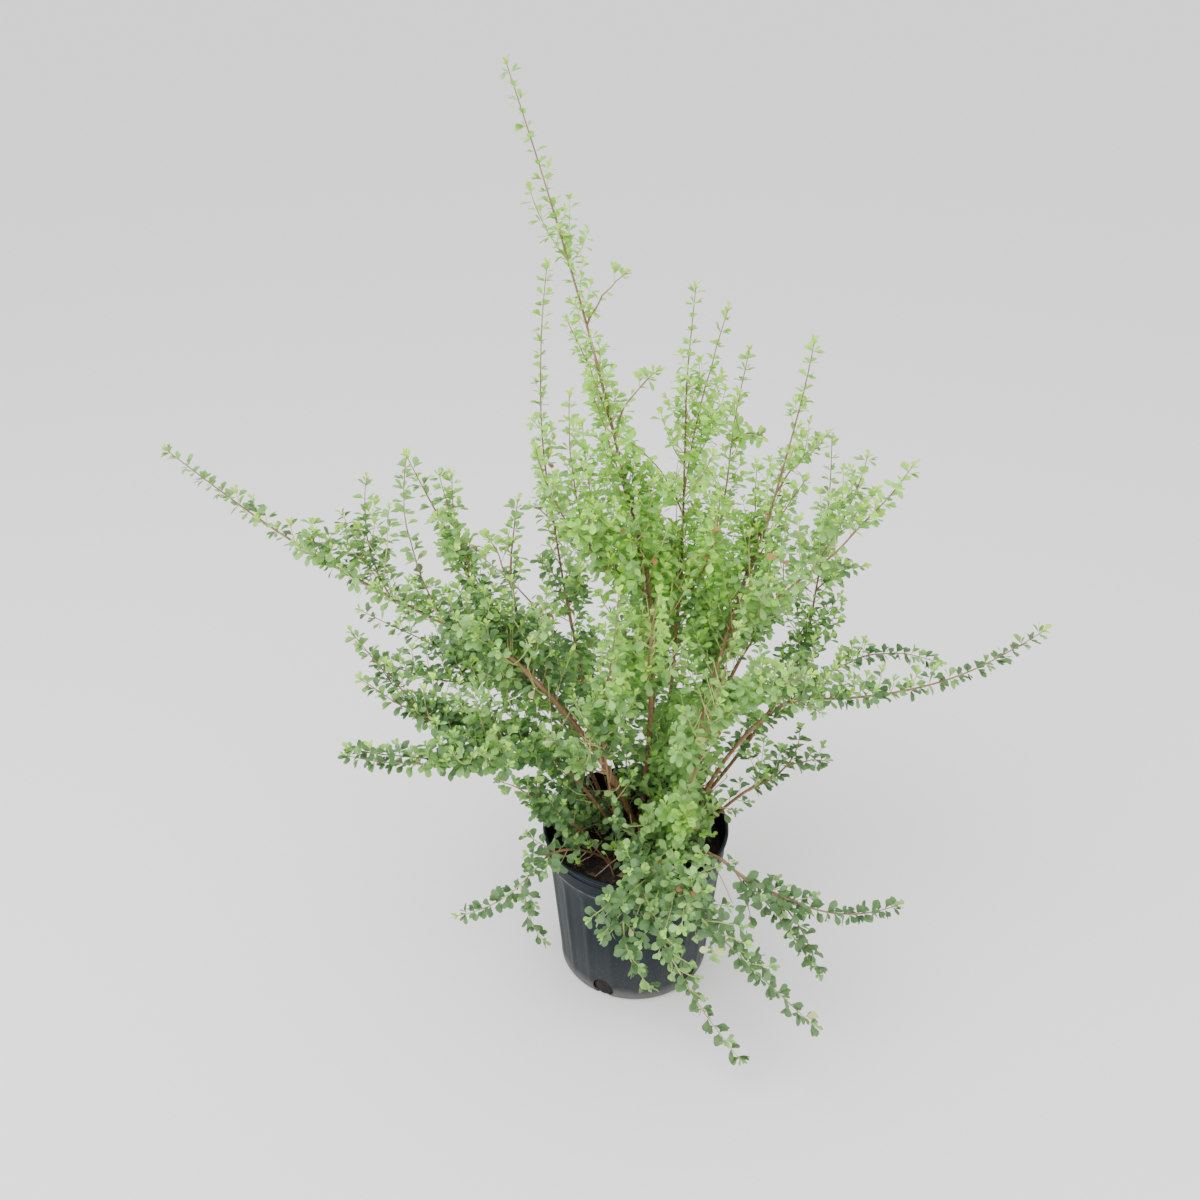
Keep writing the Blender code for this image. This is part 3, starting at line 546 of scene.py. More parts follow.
def bark_finish(name, dark, pale, strength, young=None):
    """Thin bark that splits into long pale strips, and paler wood above young's height."""
    s = Shader(name)
    strips = s.noise(520.0, 4.0, (1, 1, 0.07))
    patches = s.noise(60.0, 3.0)
    cracks = s.noise(1100.0, 2.0, (1, 1, 0.15))
    peel = s.span(strips, 0.46, 0.66) * s.span(patches, 0.38, 0.62)
    if young:
        rise = s.span(s.height() + 0.10 * patches, young, young + 0.16, soft=True)
        peel = 0.55 * rise + peel * (1 - 0.55 * rise)
    colour = s.mix(peel * strength, dark, pale)
    colour = s.mix(s.span(cracks, 0.60, 0.78) * 0.6, colour, times(dark, 0.35))
    return s.finish(base_color=colour, roughness=0.62 + 0.25 * strips,
                    normal=s.bump(strips + 0.4 * cracks, 0.0006, 0.6))


def shoot_finish(name, green, red):
    """Soft young stem, flushed with red in patches."""
    s = Shader(name)
    flush = s.span(s.noise(26.0, 3.0), 0.42, 0.66, soft=True)
    lines = s.noise(900.0, 2.0, (1, 1, 0.1))
    colour = s.mix(flush * 0.75, green, red)
    return s.finish(base_color=colour, roughness=0.45 + 0.25 * lines,
                    normal=s.bump(lines, 0.0002, 0.4))


def leaf_finish(tone, colour):
    """Soft matt leaf: mottled, faintly veined, and a little light comes through it."""
    s = Shader("leaf_" + tone)
    patches = s.noise(34.0, 3.0)
    mottle = s.noise(420.0, 3.0)
    pores = s.noise(1500.0, 2.0)
    darker = times(colour, 0.72)
    paler = [min(1.0, 1.28 * channel + 0.012) for channel in colour]
    tint = s.mix(s.span(patches, 0.35, 0.65), darker, paler)
    tint = s.mix(s.span(mottle, 0.52, 0.75) * 0.45, tint, paler)
    s.finish(base_color=tint, roughness=0.40 + 0.25 * mottle,
             normal=s.bump(mottle + 0.5 * pores, 0.0005, 0.5))
    through = s.node("ShaderNodeBsdfTranslucent", {}, {"Color": rgba(colour)})
    blend = s.node("ShaderNodeMixShader", {}, (0.29, s.surface.outputs[0], through.outputs[0]))
    s.feed(s.output.inputs["Surface"], blend.outputs[0])
    return s.material


# --- making pieces ---

def new_piece(name, vertices, faces, material):
    mesh = bpy.data.meshes.new(name)
    mesh.from_pydata(vertices, [], faces)
    mesh.update()
    return place_piece(name, mesh, material)


def mesh_of(bm, name):
    mesh = bpy.data.meshes.new(name)
    bm.to_mesh(mesh)
    bm.free()
    return mesh


def place_piece(name, mesh, material, smooth=True):
    """Put a mesh in the scene with its material, riding on the plant's one body."""
    piece = bpy.data.objects.new(name, mesh)
    bpy.context.scene.collection.objects.link(piece)
    mesh.materials.clear()
    mesh.materials.append(material)
    if smooth:
        mesh.shade_smooth()
        mesh.set_sharp_from_angle(angle=math.radians(50))
    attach(piece, "root")
    return piece


def polar(radius, angle, height=0.0):
    """A point at a radius and an angle round the upright axis."""
    return radius * math.cos(angle), radius * math.sin(angle), height


# --- pot ---

def wall_radius(settings, height):
    """Outer radius of the plain tapering wall."""
    top = RIM_RADIUS - settings.lip_depth
    return settings.foot_radius + (top - settings.foot_radius) * height / POT_HEIGHT


def half_round(middle, radius, start, end, steps):
    """Points of an arc in the half section, angles in degrees."""
    points = []
    for step in range(steps + 1):
        angle = math.radians(start + (end - start) * step / steps)
        x, y, _ = polar(radius, angle)
        points.append((middle[0] + x, middle[1] + y))
    return points


def pot_section(s):
    """Half section: floor, inside of the wall, rolled lip, ridges, band, wall and foot."""
    band_foot = POT_HEIGHT - s.lip - s.band
    bead = s.lip / 3
    floor = 0.003
    rounded = 0.006
    foot = wall_radius(s, 0)
    points = [(0, floor), (foot - rounded - s.wall, floor)]
    points += [(wall_radius(s, h) - s.wall, h) for h in np.linspace(floor + 0.004, band_foot, 18)]
    points.append((wall_radius(s, POT_HEIGHT) - s.wall, POT_HEIGHT - bead))
    rolled_lip = (RIM_RADIUS - bead, POT_HEIGHT - bead)
    points += half_round(rolled_lip, bead, 150, -60, 10)
    under = POT_HEIGHT - s.lip
    upper_ridge = (RIM_RADIUS - 1.6 * bead, under)
    points += half_round(upper_ridge, bead * 0.8, 30, -70, 6)
    groove = under - bead * 1.5
    lower_ridge = (RIM_RADIUS - 1.75 * bead, groove - bead)
    points += half_round(lower_ridge, bead * 0.7, 75, -75, 6)
    points.append((wall_radius(s, band_foot) + 0.0022, groove - 3 * bead))
    points.append((wall_radius(s, band_foot) + 0.0020, band_foot + 0.004))
    edge = (wall_radius(s, band_foot) + 0.0006, band_foot + 0.0022)
    points += half_round(edge, 0.0016, 0, -80, 4)
    heights = np.linspace(band_foot - 0.002, rounded, 26)
    points += [(wall_radius(s, h), h) for h in heights]
    points += half_round((foot - rounded, rounded), rounded, -8, -90, 7)
    points.append((0, 0))
    return points


def flute_depth(s, height, angle):
    """How far the wall is pressed in: broad panels between narrow upright ribs."""
    band_foot = POT_HEIGHT - s.lip - s.band
    wave = 0.5 + 0.5 * math.cos(s.flutes * angle)
    panel = 1 - wave ** 5
    arch = band_foot - 0.004 - 0.012 * wave ** 2
    top = min(1.0, max(0.0, (arch - height) / 0.006))
    foot = min(1.0, max(0.0, (height - 0.008) / 0.012))
    return s.flute_depth * panel * top * foot


class OREGANO_OT_pot(bpy.types.Operator):
    """Turn the pot, press its flutes and cut its drain holes"""
    bl_idname = "oregano.pot"
    bl_label = "Pot"

    def execute(self, context):
        s = context.scene.oregano_pot
        material = plastic_finish(s)
        bm = bmesh.new()
        corners = [bm.verts.new((radius, 0, height)) for radius, height in pot_section(s)]
        for first, second in zip(corners, corners[1:]):
            bm.edges.new((first, second))
        bmesh.ops.spin(bm, geom=bm.verts[:] + bm.edges[:], cent=(0, 0, 0), axis=(0, 0, 1),
                       angle=math.tau, steps=s.flutes * 12, use_merge=True)
        bmesh.ops.remove_doubles(bm, verts=bm.verts, dist=0.00002)
        for vert in bm.verts:
            radius = vert.co.xy.length
            if radius > s.foot_radius / 2:
                depth = flute_depth(s, vert.co.z, math.atan2(vert.co.y, vert.co.x))
                vert.co.xy *= (radius - depth) / radius
        bmesh.ops.recalc_face_normals(bm, faces=bm.faces)
        pot = place_piece("pot_shell", mesh_of(bm, "pot_shell"), material, smooth=False)
        drill_drain_holes(pot, s)
        pot.data.shade_smooth()
        pot.data.set_sharp_from_angle(angle=math.radians(40))
        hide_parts("pot")
        return {"FINISHED"}


def drill_drain_holes(pot, s):
    """Cut the round holes through the wall's foot in one Boolean."""
    bm = bmesh.new()
    for hole in range(s.drain_holes):
        angle = DRAIN_FIRST + hole * math.tau / s.drain_holes
        outward = Vector(polar(1, angle))
        place = Matrix.Translation(outward * s.foot_radius + UP * s.drain_height)
        turn = outward.to_track_quat("Z", "Y").to_matrix().to_4x4()
        bmesh.ops.create_cone(bm, cap_ends=True, segments=32, radius1=s.drain_radius,
                              radius2=s.drain_radius, depth=0.03, matrix=place @ turn)
    drill = bpy.data.objects.new("drill", mesh_of(bm, "drill"))
    bpy.context.scene.collection.objects.link(drill)
    cut = pot.modifiers.new("drain_holes", "BOOLEAN")
    cut.operation = "DIFFERENCE"
    cut.object = drill
    graph = bpy.context.evaluated_depsgraph_get()
    mesh = bpy.data.meshes.new_from_object(pot.evaluated_get(graph))
    pot.modifiers.clear()
    pot.data = mesh
    bpy.data.objects.remove(drill)


class OREGANO_OT_roots(bpy.types.Operator):
    """Show the root-bound mix that fills each drain hole, painted darker than the mix above as
    shade inside the holes
    """
    bl_idname = "oregano.roots"
    bl_label = "Roots in the drain holes"

    def execute(self, context):
        s = context.scene.oregano_pot
        steps = 28
        vertices, faces = [], []
        for hole in range(s.drain_holes):
            middle = DRAIN_FIRST + hole * math.tau / s.drain_holes
            base = len(vertices)
            for row in range(steps + 1):
                for column in range(steps + 1):
                    u, v = 2 * column / steps - 1, 2 * row / steps - 1
                    height = max(0.0008, s.drain_height + v * s.drain_radius)
                    angle = middle + u * s.drain_radius / s.foot_radius
                    knots = noise.fractal(Vector((u * 4 + hole * 9, v * 4, 0)), 1.0, 2.0, 3)
                    rounded = 0.0030 * min(1.0, math.hypot(u, v)) ** 4
                    radius = wall_radius(s, height) - s.wall - rounded + 0.0012 * knots
                    vertices.append(polar(radius, angle, height))
            for row in range(steps):
                for column in range(steps):
                    a = base + row * (steps + 1) + column
                    faces.append((a, a + 1, a + steps + 2, a + steps + 1))
        # Soil and chip colours darker than the mix above: painted shade inside the holes
        finish = soil_finish("root_mat", times(s.soil, 0.7), times(s.chip, 0.6))
        piece = new_piece("root_mat", vertices, faces, finish)
        return {"FINISHED"}


# --- potting mix and what lies on it ---

def soil_height(x, y):
    """Uneven top of the mix, heaped a little round the stems."""
    radius = math.hypot(x, y)
    heap = 0.005 * math.exp(-(radius / 0.06) ** 2)
    rough = noise.fractal(Vector((x, y, 0)) * 90, 1.0, 2.0, 4)
    lumps = noise.noise(Vector((x, y, 3)) * 34)
    return SOIL_TOP - 0.003 + heap + 0.0022 * rough + 0.0025 * lumps


class OREGANO_OT_mix(bpy.types.Operator):
    """Fill the pot with uneven potting mix"""
    bl_idname = "oregano.mix"
    bl_label = "Potting mix"

    def execute(self, context):
        s = context.scene.oregano_pot
        material = soil_finish("potting_mix_dark", s.soil, s.chip)
        rings, sectors = 60, 180
        inset = s.wall + s.flute_depth + 0.0012
        edge = wall_radius(s, SOIL_TOP) - inset
        vertices = [(0, 0, soil_height(0, 0))]
        for ring in range(1, rings + 1):
            for sector in range(sectors):
                angle = sector * math.tau / sectors
                x, y, _ = polar(edge * ring / rings, angle)
                vertices.append((x, y, soil_height(x, y)))
        low = SOIL_LOW.z
        for height in np.linspace(SOIL_TOP - 0.02, low + 0.002, 24):
            for sector in range(sectors):
                angle = sector * math.tau / sectors
                bulge = 0.0008 * noise.noise(Vector(polar(1, angle, height)) * 40)
                radius = wall_radius(s, height) - inset - 0.001 + bulge
                vertices.append(polar(radius, angle, height))
        vertices.append((0, 0, low + 0.0005))
        loops = (len(vertices) - 2) // sectors
        faces = []
        for sector in range(sectors):
            after = (sector + 1) % sectors
            faces.append((0, 1 + sector, 1 + after))
            for loop in range(loops - 1):
                a, b = 1 + loop * sectors, 1 + (loop + 1) * sectors
                faces.append((a + sector, b + sector, b + after, a + after))
            last = 1 + (loops - 1) * sectors
            faces.append((last + sector, len(vertices) - 1, last + after))
        mix = new_piece("potting_mix_fill", vertices, faces, material)
        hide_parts("potting_mix")
        return {"FINISHED"}


def scatter_points(count, reach, rng):
    """Points spread evenly over the mix, out to a radius."""
    for _ in range(count):
        radius = reach * math.sqrt(rng.random())
        x, y, _ = polar(radius, rng.uniform(0, math.tau))
        yield Vector((x, y, soil_height(x, y)))


class OREGANO_OT_chips(bpy.types.Operator):
    """Scatter bark chips over the potting mix"""
    bl_idname = "oregano.chips"
    bl_label = "Bark chips"

    def execute(self, context):
        s = context.scene.oregano_pot
        rng = random.Random(11)
        batches = {"bark_chips": (s.chip, bmesh.new()),
                   "dark_chips": (times(s.chip, 0.35), bmesh.new())}
        reach = wall_radius(s, SOIL_TOP) - 0.012
        for point in scatter_points(s.chips, reach, rng):
            bm = batches[rng.choice(("bark_chips", "dark_chips", "dark_chips"))][1]
            size = rng.uniform(0.0025, 0.008)
            scale = Vector((size, size * rng.uniform(0.4, 0.8), size * rng.uniform(0.2, 0.45)))
            turn = Matrix.Rotation(rng.uniform(0, math.tau), 4, "Z")
            tilt = Matrix.Rotation(rng.uniform(-0.6, 0.6), 4, "X")
            place = Matrix.Translation(point + UP * scale.z * 0.3)
            made = bmesh.ops.create_icosphere(
                bm, subdivisions=1, radius=0.6,
                matrix=place @ turn @ tilt @ Matrix.Diagonal((*scale, 1)))
            for vert in made["verts"]:
                jolt = Vector((rng.uniform(-1, 1), rng.uniform(-1, 1), rng.uniform(-1, 1)))
                vert.co += jolt * size * 0.12
        for name, (colour, bm) in batches.items():
            finish = soil_finish(name, colour, times(colour, 1.8))
            piece = place_piece(name, mesh_of(bm, name), finish, smooth=False)
        return {"FINISHED"}


# --- stems and how they grow ---

def arc_points(start, way, end, steps):
    """Points along the smooth arc that passes way half way, as in the solids."""
    start, way, end = Vector(start), Vector(way), Vector(end)
    pull = 2 * way - (start + end) / 2
    points = []
    for step in range(steps + 1):
        t = step / steps
        points.append((1 - t) ** 2 * start + 2 * t * (1 - t) * pull + t ** 2 * end)
    return points


def smoothed(points, passes=SMOOTH_PASSES):
    points = list(points)
    for _ in range(passes):
        inner = [(a + 2 * b + c) / 4 for a, b, c in zip(points, points[1:], points[2:])]
        points = [points[0], *inner, points[-1]]
    return points


def sway_at(place):
    """A smooth push to one side that is the same on every run."""
    return Vector([noise.noise(place + Vector((0, 17 * axis, 0))) for axis in range(3)])


def wandered(points, rng, amount=WANDER):
    """A slight wander, nothing at either end."""
    seed = Vector((rng.uniform(0, 50), rng.uniform(0, 50), 0))
    moved = []
    for index, point in enumerate(points):
        share = index / (len(points) - 1)
        sway = sway_at(seed + UP * share * 5)
        moved.append(point + sway * amount * math.sin(math.pi * share))
    return moved


class Shoot:
    """A stem: points along it, its radius at both ends and where its leaves begin.

    Each mark is the distance of a point along the stem.
    """

    def __init__(self, points, thick, thin, bare=0.0):
        self.points = points
        self.thick = thick
        self.thin = thin
        self.marks = [0.0]
        for first, second in zip(points, points[1:]):
            self.marks.append(self.marks[-1] + (second - first).length)
        self.length = self.marks[-1]
        self.bare = bare * self.length

    def place(self, distance):
        """Point and direction at a distance along the stem."""
        index = int(np.searchsorted(self.marks, distance)) - 1
        index = min(max(index, 0), len(self.points) - 2)
        first, second = self.points[index], self.points[index + 1]
        step = self.marks[index + 1] - self.marks[index]
        share = (distance - self.marks[index]) / step
        return first.lerp(second, share), (second - first).normalized()

    def radius(self, distance):
        return self.thick + (self.thin - self.thick) * (distance / self.length) ** 1.4


def side_way(along, turn):
    """A direction square to the stem, turned about it."""
    flat = UP.cross(along)
    flat = flat.normalized() if flat.length > 0.2 else along.orthogonal().normalized()
    return Matrix.Rotation(turn, 3, along) @ flat


def within_reach(point):
    """True inside the solids' box, over the floor and clear of the pot and the mix."""
    low, high = CAD_BOX
    for axis in range(3):
        if not low[axis] - PAST_BOX < point[axis] < high[axis] + PAST_BOX:
            return False
    if point.z < OVER_FLOOR:
        return False
    if point.z > POT_HEIGHT + OVER_RIM:
        return True
    radius = point.xy.length
    wall = FOOT_RADIUS + (RIM_RADIUS - FOOT_RADIUS) * point.z / POT_HEIGHT
    inside = point.z > SOIL_TOP + OVER_RIM and radius < wall - INSIDE_WALL
    return inside or radius > wall + OUTSIDE_WALL


@functools.cache
def gap_lines():
    """Each open place as a line from where the plant is seen: direction and radius."""
    eye = Vector(STAND)
    return [((Vector(middle) - eye).normalized(), radius) for middle, radius in GAPS]


def in_gap(point):
    """True where the point would close one of the open places."""
    way = point - Vector(STAND)
    return any((way - line * way.dot(line)).length < radius for line, radius in gap_lines())


def in_rosette(point):
    """1 in the middle of the rosette of large bright leaves at the front, 0 away from it."""
    return math.exp(-((point - ROSETTE).length / ROSETTE_REACH) ** 2)


class Growth:
    """Everything that the rule of growth makes: shoots, twigs and leaves."""

    def __init__(self, leaf):
        self.leaf_settings = leaf
        self.limbs = {}
        self.axes = []
        self.runners = []
        self.twigs = []
        self.soft = []
        self.leaves = [[] for _ in TONES]

    def leaf_length(self, height, share):
        """Leaves shrink with height and towards the shoot's tip."""
        s = self.leaf_settings
        rise = min(1.0, max(0.0, (height - 0.25) / 0.65))
        return (s.big + (s.small - s.big) * rise) * (1 - 0.18 * share)

    def add_leaf(self, root, way, face, length, tone, rng):
        if length < SHORTEST_LEAF:
            return
        tip = root + way * length
        if within_reach(tip) and within_reach(root.lerp(tip, 0.5)):
            bend = rng.uniform(0.02, 0.22)
            fold = rng.uniform(0.05, 0.40)
            width = rng.uniform(0.85, 1.12)
            length *= 1 + 0.28 * in_rosette(root)
            self.leaves[tone].append((*root, *way, *face, length, bend, fold, width))

    def deal_tone(self, point, share, rng):
        """A spray's tone: deeper low on the left and inside as painted shade, paler high up and in
        the crown's middle as painted light, and fresher at the tips.
        """
        # light is painted light and shade: it rises with height and in the crown's middle and
        # falls to the sides and below the rim; the tip share adds the young tips' own fresher tone
        rise = (point.z - 0.45) / 0.6
        aside = point.x - 0.06
        crown = math.exp(-(aside / 0.08) ** 2)
        light = 0.42 + 0.82 * rise + 0.32 * share - 0.75 * abs(aside)
        light += 0.26 * crown + 0.5 * in_rosette(point)
        light += rng.uniform(-0.28, 0.28) - (0.12 if point.z < POT_HEIGHT else 0.0)
        if light < 0.45:
            return DEEP
        return MID if light < 0.95 else FRESH_AND_LIT

    def bear_pair(self, point, along, turn, length, tone, rng):
        """Two opposite leaves, now and then yellow or withered."""
        for side in (0, math.pi):
            chance = rng.random()
            if chance < YELLOW_SHARE:
                tone = YELLOW if chance < YELLOW_SHARE * 0.6 else WITHERED
            outward = side_way(along, turn + side + rng.uniform(-WOBBLE, WOBBLE))
            rise = rng.uniform(0.0, 0.60)
            way = (outward * math.cos(rise) + along * math.sin(rise)).normalized()
            face = UP * 0.9 + along * 0.5 + random_way(rng) * 0.35
            self.add_leaf(point, way, face, length * rng.uniform(0.82, 1.12), tone, rng)

    def bear_tuft(self, point, along, outward, length, tone, count, rng):
        """Small leaves in a leaf's corner: a shoot that is only just starting."""
        base = (outward * 0.75 + along * 0.65).normalized()
        for _ in range(count):
            way = (base + random_way(rng) * 0.75).normalized()
            face = UP + random_way(rng) * 0.5
            root = point + outward * length * rng.uniform(0.0, 0.22)
            self.add_leaf(root, way, face, length * rng.uniform(0.50, 0.92), tone, rng)

    def bear_bud(self, point, along, length, rng):
        """The tight tip of a shoot, palest high up."""
        # The tone pales with height: painted light from above over the buds' own pale green
        light = point.z + rng.uniform(-0.22, 0.22)
        tone = BUD if light > 0.66 else FRESH_AND_LIT if light > 0.40 else MID
        for index in range(BUD_LEAVES):
            outward = side_way(along, index * QUARTER * 1.1 + rng.uniform(-0.3, 0.3))
            way = (outward * rng.uniform(0.35, 0.9) + along).normalized()
            face = UP + outward * -0.6 + random_way(rng) * 0.2
            root = point - along * length * 0.10 * index
            self.add_leaf(root, way, face, length * rng.uniform(0.45, 0.75), tone, rng)

    def dress(self, shoot, rng, bushy=1.0, crowd=1.0):
        """Leaf pairs a quarter turn apart on a leading shoot, side twigs in their corners."""
        s = self.leaf_settings
        distance = shoot.bare + s.internode * rng.uniform(0.3, 0.9)
        node = rng.randrange(2)
        while distance < shoot.length - s.internode * 0.25:
            leafy = (distance - shoot.bare) / max(shoot.length - shoot.bare, 0.001)
            point, along = shoot.place(distance)
            length = self.leaf_length(point.z, leafy)
            spray = self.deal_tone(point, leafy, rng)
            turn = node * QUARTER + rng.uniform(-0.2, 0.2)
            self.bear_pair(point, along, turn, length, spray, rng)
            for side in (0, math.pi):
                outward = side_way(along, turn + side)
                reach = s.twig * bushy * (0.07 + 1.08 * (1 - leafy) ** 1.5)
                reach *= rng.uniform(0.35, 1.15) * (1 + 0.45 * outward.z)
                if reach > SHORTEST_TWIG and rng.random() < crowd:
                    self.sprout(point, along, outward, reach, leafy, rng)
                else:
                    count = rng.choice((2, 3, 3))
                    self.bear_tuft(point, along, outward, length, spray, count, rng)
            node += 1
            pace = s.internode * (0.62 + 0.38 * abs(along.z))
            distance += pace * (1 - 0.20 * leafy) * rng.uniform(0.85, 1.15)
        tip, along = shoot.place(shoot.length)
        self.bear_bud(tip, along, self.leaf_length(tip.z, 1.0), rng)

    def dress_limb(self, shoot, rng, bushy, open_front):
        """Short shoots and tufts straight from the old wood."""
        s = self.leaf_settings
        distance = shoot.bare
        while distance < shoot.length:
            point, along = shoot.place(distance)
            spray = self.deal_tone(point, 0.2, rng)
            outward = side_way(along, rng.uniform(0, math.tau))
            if open_front and outward.y < -0.25 and point.z > OPEN_ABOVE:
                outward = -outward
            if rng.random() < 0.75:
                reach = s.twig * bushy * rng.uniform(0.35, 1.0)
                self.sprout(point, along, outward, reach, 0.2, rng)
            else:
                length = self.leaf_length(point.z, 0.2)
                self.bear_tuft(point, along, outward, length, spray, 4, rng)
            distance += s.internode * 0.62 * rng.uniform(0.7, 1.3)

    def dress_twig(self, twig, rng, tone):
        """Close pairs of smaller leaves up a side twig, with a few tufts."""
        pace = self.leaf_settings.internode * 0.68
        distance = pace * rng.uniform(0.6, 1.1)
        node = rng.randrange(2)
        while distance < twig.length - pace * 0.2:
            leafy = distance / twig.length
            point, along = twig.place(distance)
            length = self.leaf_length(point.z, leafy) * 0.96
            turn = node * QUARTER + rng.uniform(-0.2, 0.2)
            self.bear_pair(point, along, turn, length, tone, rng)
            for side in (0, math.pi):
                if rng.random() < 0.58 * (1 - leafy):
                    outward = side_way(along, turn + side)
                    self.bear_tuft(point, along, outward, length, tone, rng.choice((1, 2)), rng)
            node += 1
            distance += pace * (1 - 0.25 * leafy) * rng.uniform(0.85, 1.15)
        tip, along = twig.place(twig.length)
        self.bear_bud(tip, along, self.leaf_length(tip.z, 1.0) * 0.9, rng)

    def sprout(self, point, along, outward, reach, leafy, rng, order=1):
        """A side twig that leaves at an angle and turns up to the light."""
        way = (outward * 0.75 + along * 0.65).normalized()
        lift = 0.12 + 0.22 * (1 - abs(along.z)) if point.z > 0.3 else -0.01
        points = [point]
        for _ in range(TWIG_STEPS):
            way = (way + UP * lift + random_way(rng) * 0.13).normalized()
            points.append(points[-1] + way * reach / TWIG_STEPS)
        for place in (points[-1], points[TWIG_STEPS // 2]):
            if in_gap(place) or not within_reach(place):
                return
        twig = Shoot(points, TWIG_THIN + 0.006 * reach, TWIG_THIN * 0.8)
        (self.soft if leafy > 0.35 or order > 1 else self.twigs).append(twig)
        tone = self.deal_tone(points[-1], leafy, rng)
        self.dress_twig(twig, rng, tone)
        if order == 1 and reach > FORKING_TWIG:
            for share in (0.25, 0.50):
                root, onward = twig.place(twig.length * share)
                outward = side_way(onward, rng.uniform(0, math.tau))
                smaller = reach * (0.75 - 0.6 * share) * rng.uniform(0.6, 1.0)
                self.sprout(root, onward, outward, smaller, leafy, rng, order=2)


def random_way(rng):
    """A push in any direction, mostly shorter than 1."""
    return Vector((rng.gauss(0, 0.5), rng.gauss(0, 0.5), rng.gauss(0, 0.5)))


def clear_view(rows, growth):
    """Drop most leaves that would hide bare wood or fill an open place from the front."""
    data = np.array(rows, float)
    keep = np.ones(len(data), bool)
    eye = np.array(STAND)
    length = data[:, LENGTH_COLUMN:LENGTH_COLUMN + 1]
    middle = data[:, 0:3] + data[:, 3:6] * length * 0.5 - eye
    luck = np.random.default_rng(5).random(len(data))

    def beside(way):
        """How far each leaf is along a line from the eye, and how far to its side."""
        ahead = middle @ way
        return ahead, np.linalg.norm(middle - ahead[:, None] * way, axis=1)

    for name, first, last, width, share in BARE_WOOD:
        limb = growth.limbs[name]
        for step in np.linspace(first, last, 40):
            place = step * (len(limb) - 1)
            after = min(int(place) + 1, len(limb) - 1)
            way = np.array(limb[int(place)].lerp(limb[after], place % 1)) - eye
            far = np.linalg.norm(way)
            ahead, aside = beside(way / far)
            keep &= ~((ahead < far - 0.004) & (aside < width) & (luck < share))
    for line, radius in gap_lines():
        keep &= ~((beside(np.array(line))[1] < radius) & (luck < GAP_SHARE))
    return [row for row, stays in zip(rows, keep) if stays]


@functools.cache
def grow_plant():
    """Grow every stem, mass, fork, twig and leaf from the plan."""
    growth = Growth(bpy.context.scene.oregano_leaf)
    for stem in STEMS:
        growth.limbs[stem.name] = arc_points((*stem.foot, SOIL_TOP), stem.way, stem.end,
                                             STEM_STEPS)
        rng = random.Random("limb " + stem.name)
        open_front = stem.name in OPEN_FRONT
        bare = OPEN_LIMB_BARE if open_front else LIMB_BARE
        limb = Shoot(growth.limbs[stem.name], stem.thick, stem.thin, bare)
        growth.dress_limb(limb, rng, stem.bushy, open_front)
    grow_basal(growth)
    stems = {stem.name: stem for stem in STEMS}
    for mass in MASSES:
        grow_mass(growth, mass, stems[mass.stem])
    growth.leaves = [clear_view(rows, growth) if rows else rows for rows in growth.leaves]
    return growth


def grow_mass(growth, mass, stem):
    """A mass's leading shoot, run on from its limb, and then its forks."""
    rng = random.Random("dress " + mass.name)
    limb = growth.limbs[mass.stem]
    if mass.at == 1.0:
        limb_steps = limb[len(limb) // 2:]
        start = stem.thin * stem.slender * 1.1
    else:
        limb_steps = [limb[round(mass.at * STEM_STEPS)]]
        start = stem.thin * 0.75
    lift = LIFTED.get(mass.name, UP * 0.0)
    own = arc_points(limb_steps[-1], Vector(mass.way) + lift, Vector(mass.tip) + lift, AXIS_STEPS)
    points = wandered(smoothed(limb_steps + own[1:]), rng)
    lengths = [(b - a).length for a, b in zip(points, points[1:])]
    first = len(limb_steps) - 1
    bare = BARE_START.get(mass.name, sum(lengths[:first]) / sum(lengths) * 0.35)
    batch = growth.runners if mass.name in RUNNERS else growth.axes
    batch.append(Shoot(points, start, TWIG_THIN, bare))
    growth.dress(batch[-1], rng, mass.bushy)
    for at, tip, *bushy in mass.forks:
        at, tip = first + round(at * AXIS_STEPS), Vector(tip)
        root = points[at]
        along, side = (points[at + 1] - root).normalized(), (tip - root).normalized()
        bow = (along - side * along.dot(side)) * (tip - root).length * FORK_BOW
        fork = wandered(arc_points(root, (root + tip) / 2 + bow, tip, FORK_STEPS), rng)
        batch.append(Shoot(fork, FORK_THICK, TWIG_THIN, FORK_BARE))
        growth.dress(batch[-1], rng, bushy[0] if bushy else mass.bushy, FORK_CROWD)
    growth.limbs[mass.name] = points


def grow_basal(growth):
    """Young leafy shoots straight from the potting mix, between the stems and the wall."""
    rng = random.Random("basal")

    def bear(points, bushy):
        growth.axes.append(Shoot(points, 0.0014, TWIG_THIN, 0.12))
        growth.dress(growth.axes[-1], rng, bushy)

    for index in range(BASAL_SHOOTS):
        outward = Vector(polar(1, index * GOLDEN_ANGLE + 0.4))
        radius = 0.022 + 0.070 * math.sqrt((index + 0.5) / BASAL_SHOOTS)
        root = outward * radius + UP * (SOIL_TOP - SHOOT_DEPTH)
        open_mix = -0.075 < root.x < -0.006 and root.y < 0.0
        if open_mix and index % 3:
            continue
        reach = rng.uniform(0.05, 0.15) * (0.45 if open_mix else 1.0)
        way = (UP * 1.1 + outward * 0.35 + random_way(rng) * 0.4).normalized()
        points = [root]
        for step in range(BASAL_STEPS):
            way = (way + outward * 0.05 * step / 4 + random_way(rng) * 0.10).normalized()
            points.append(points[-1] + way * reach / BASAL_STEPS)
        edge = max(point.xy.length for point in points if point.z < POT_HEIGHT + 0.004)
        if edge < RIM_RADIUS - 0.018:
            bear(points, 0.42)
    for foot, tip in COVER_SHOOTS:
        root = Vector((*foot, SOIL_TOP - SHOOT_DEPTH))
        middle = (root + Vector(tip)) / 2 + UP * 0.01
        bear(wandered(arc_points(root, middle, tip, BASAL_STEPS), rng), 0.45)


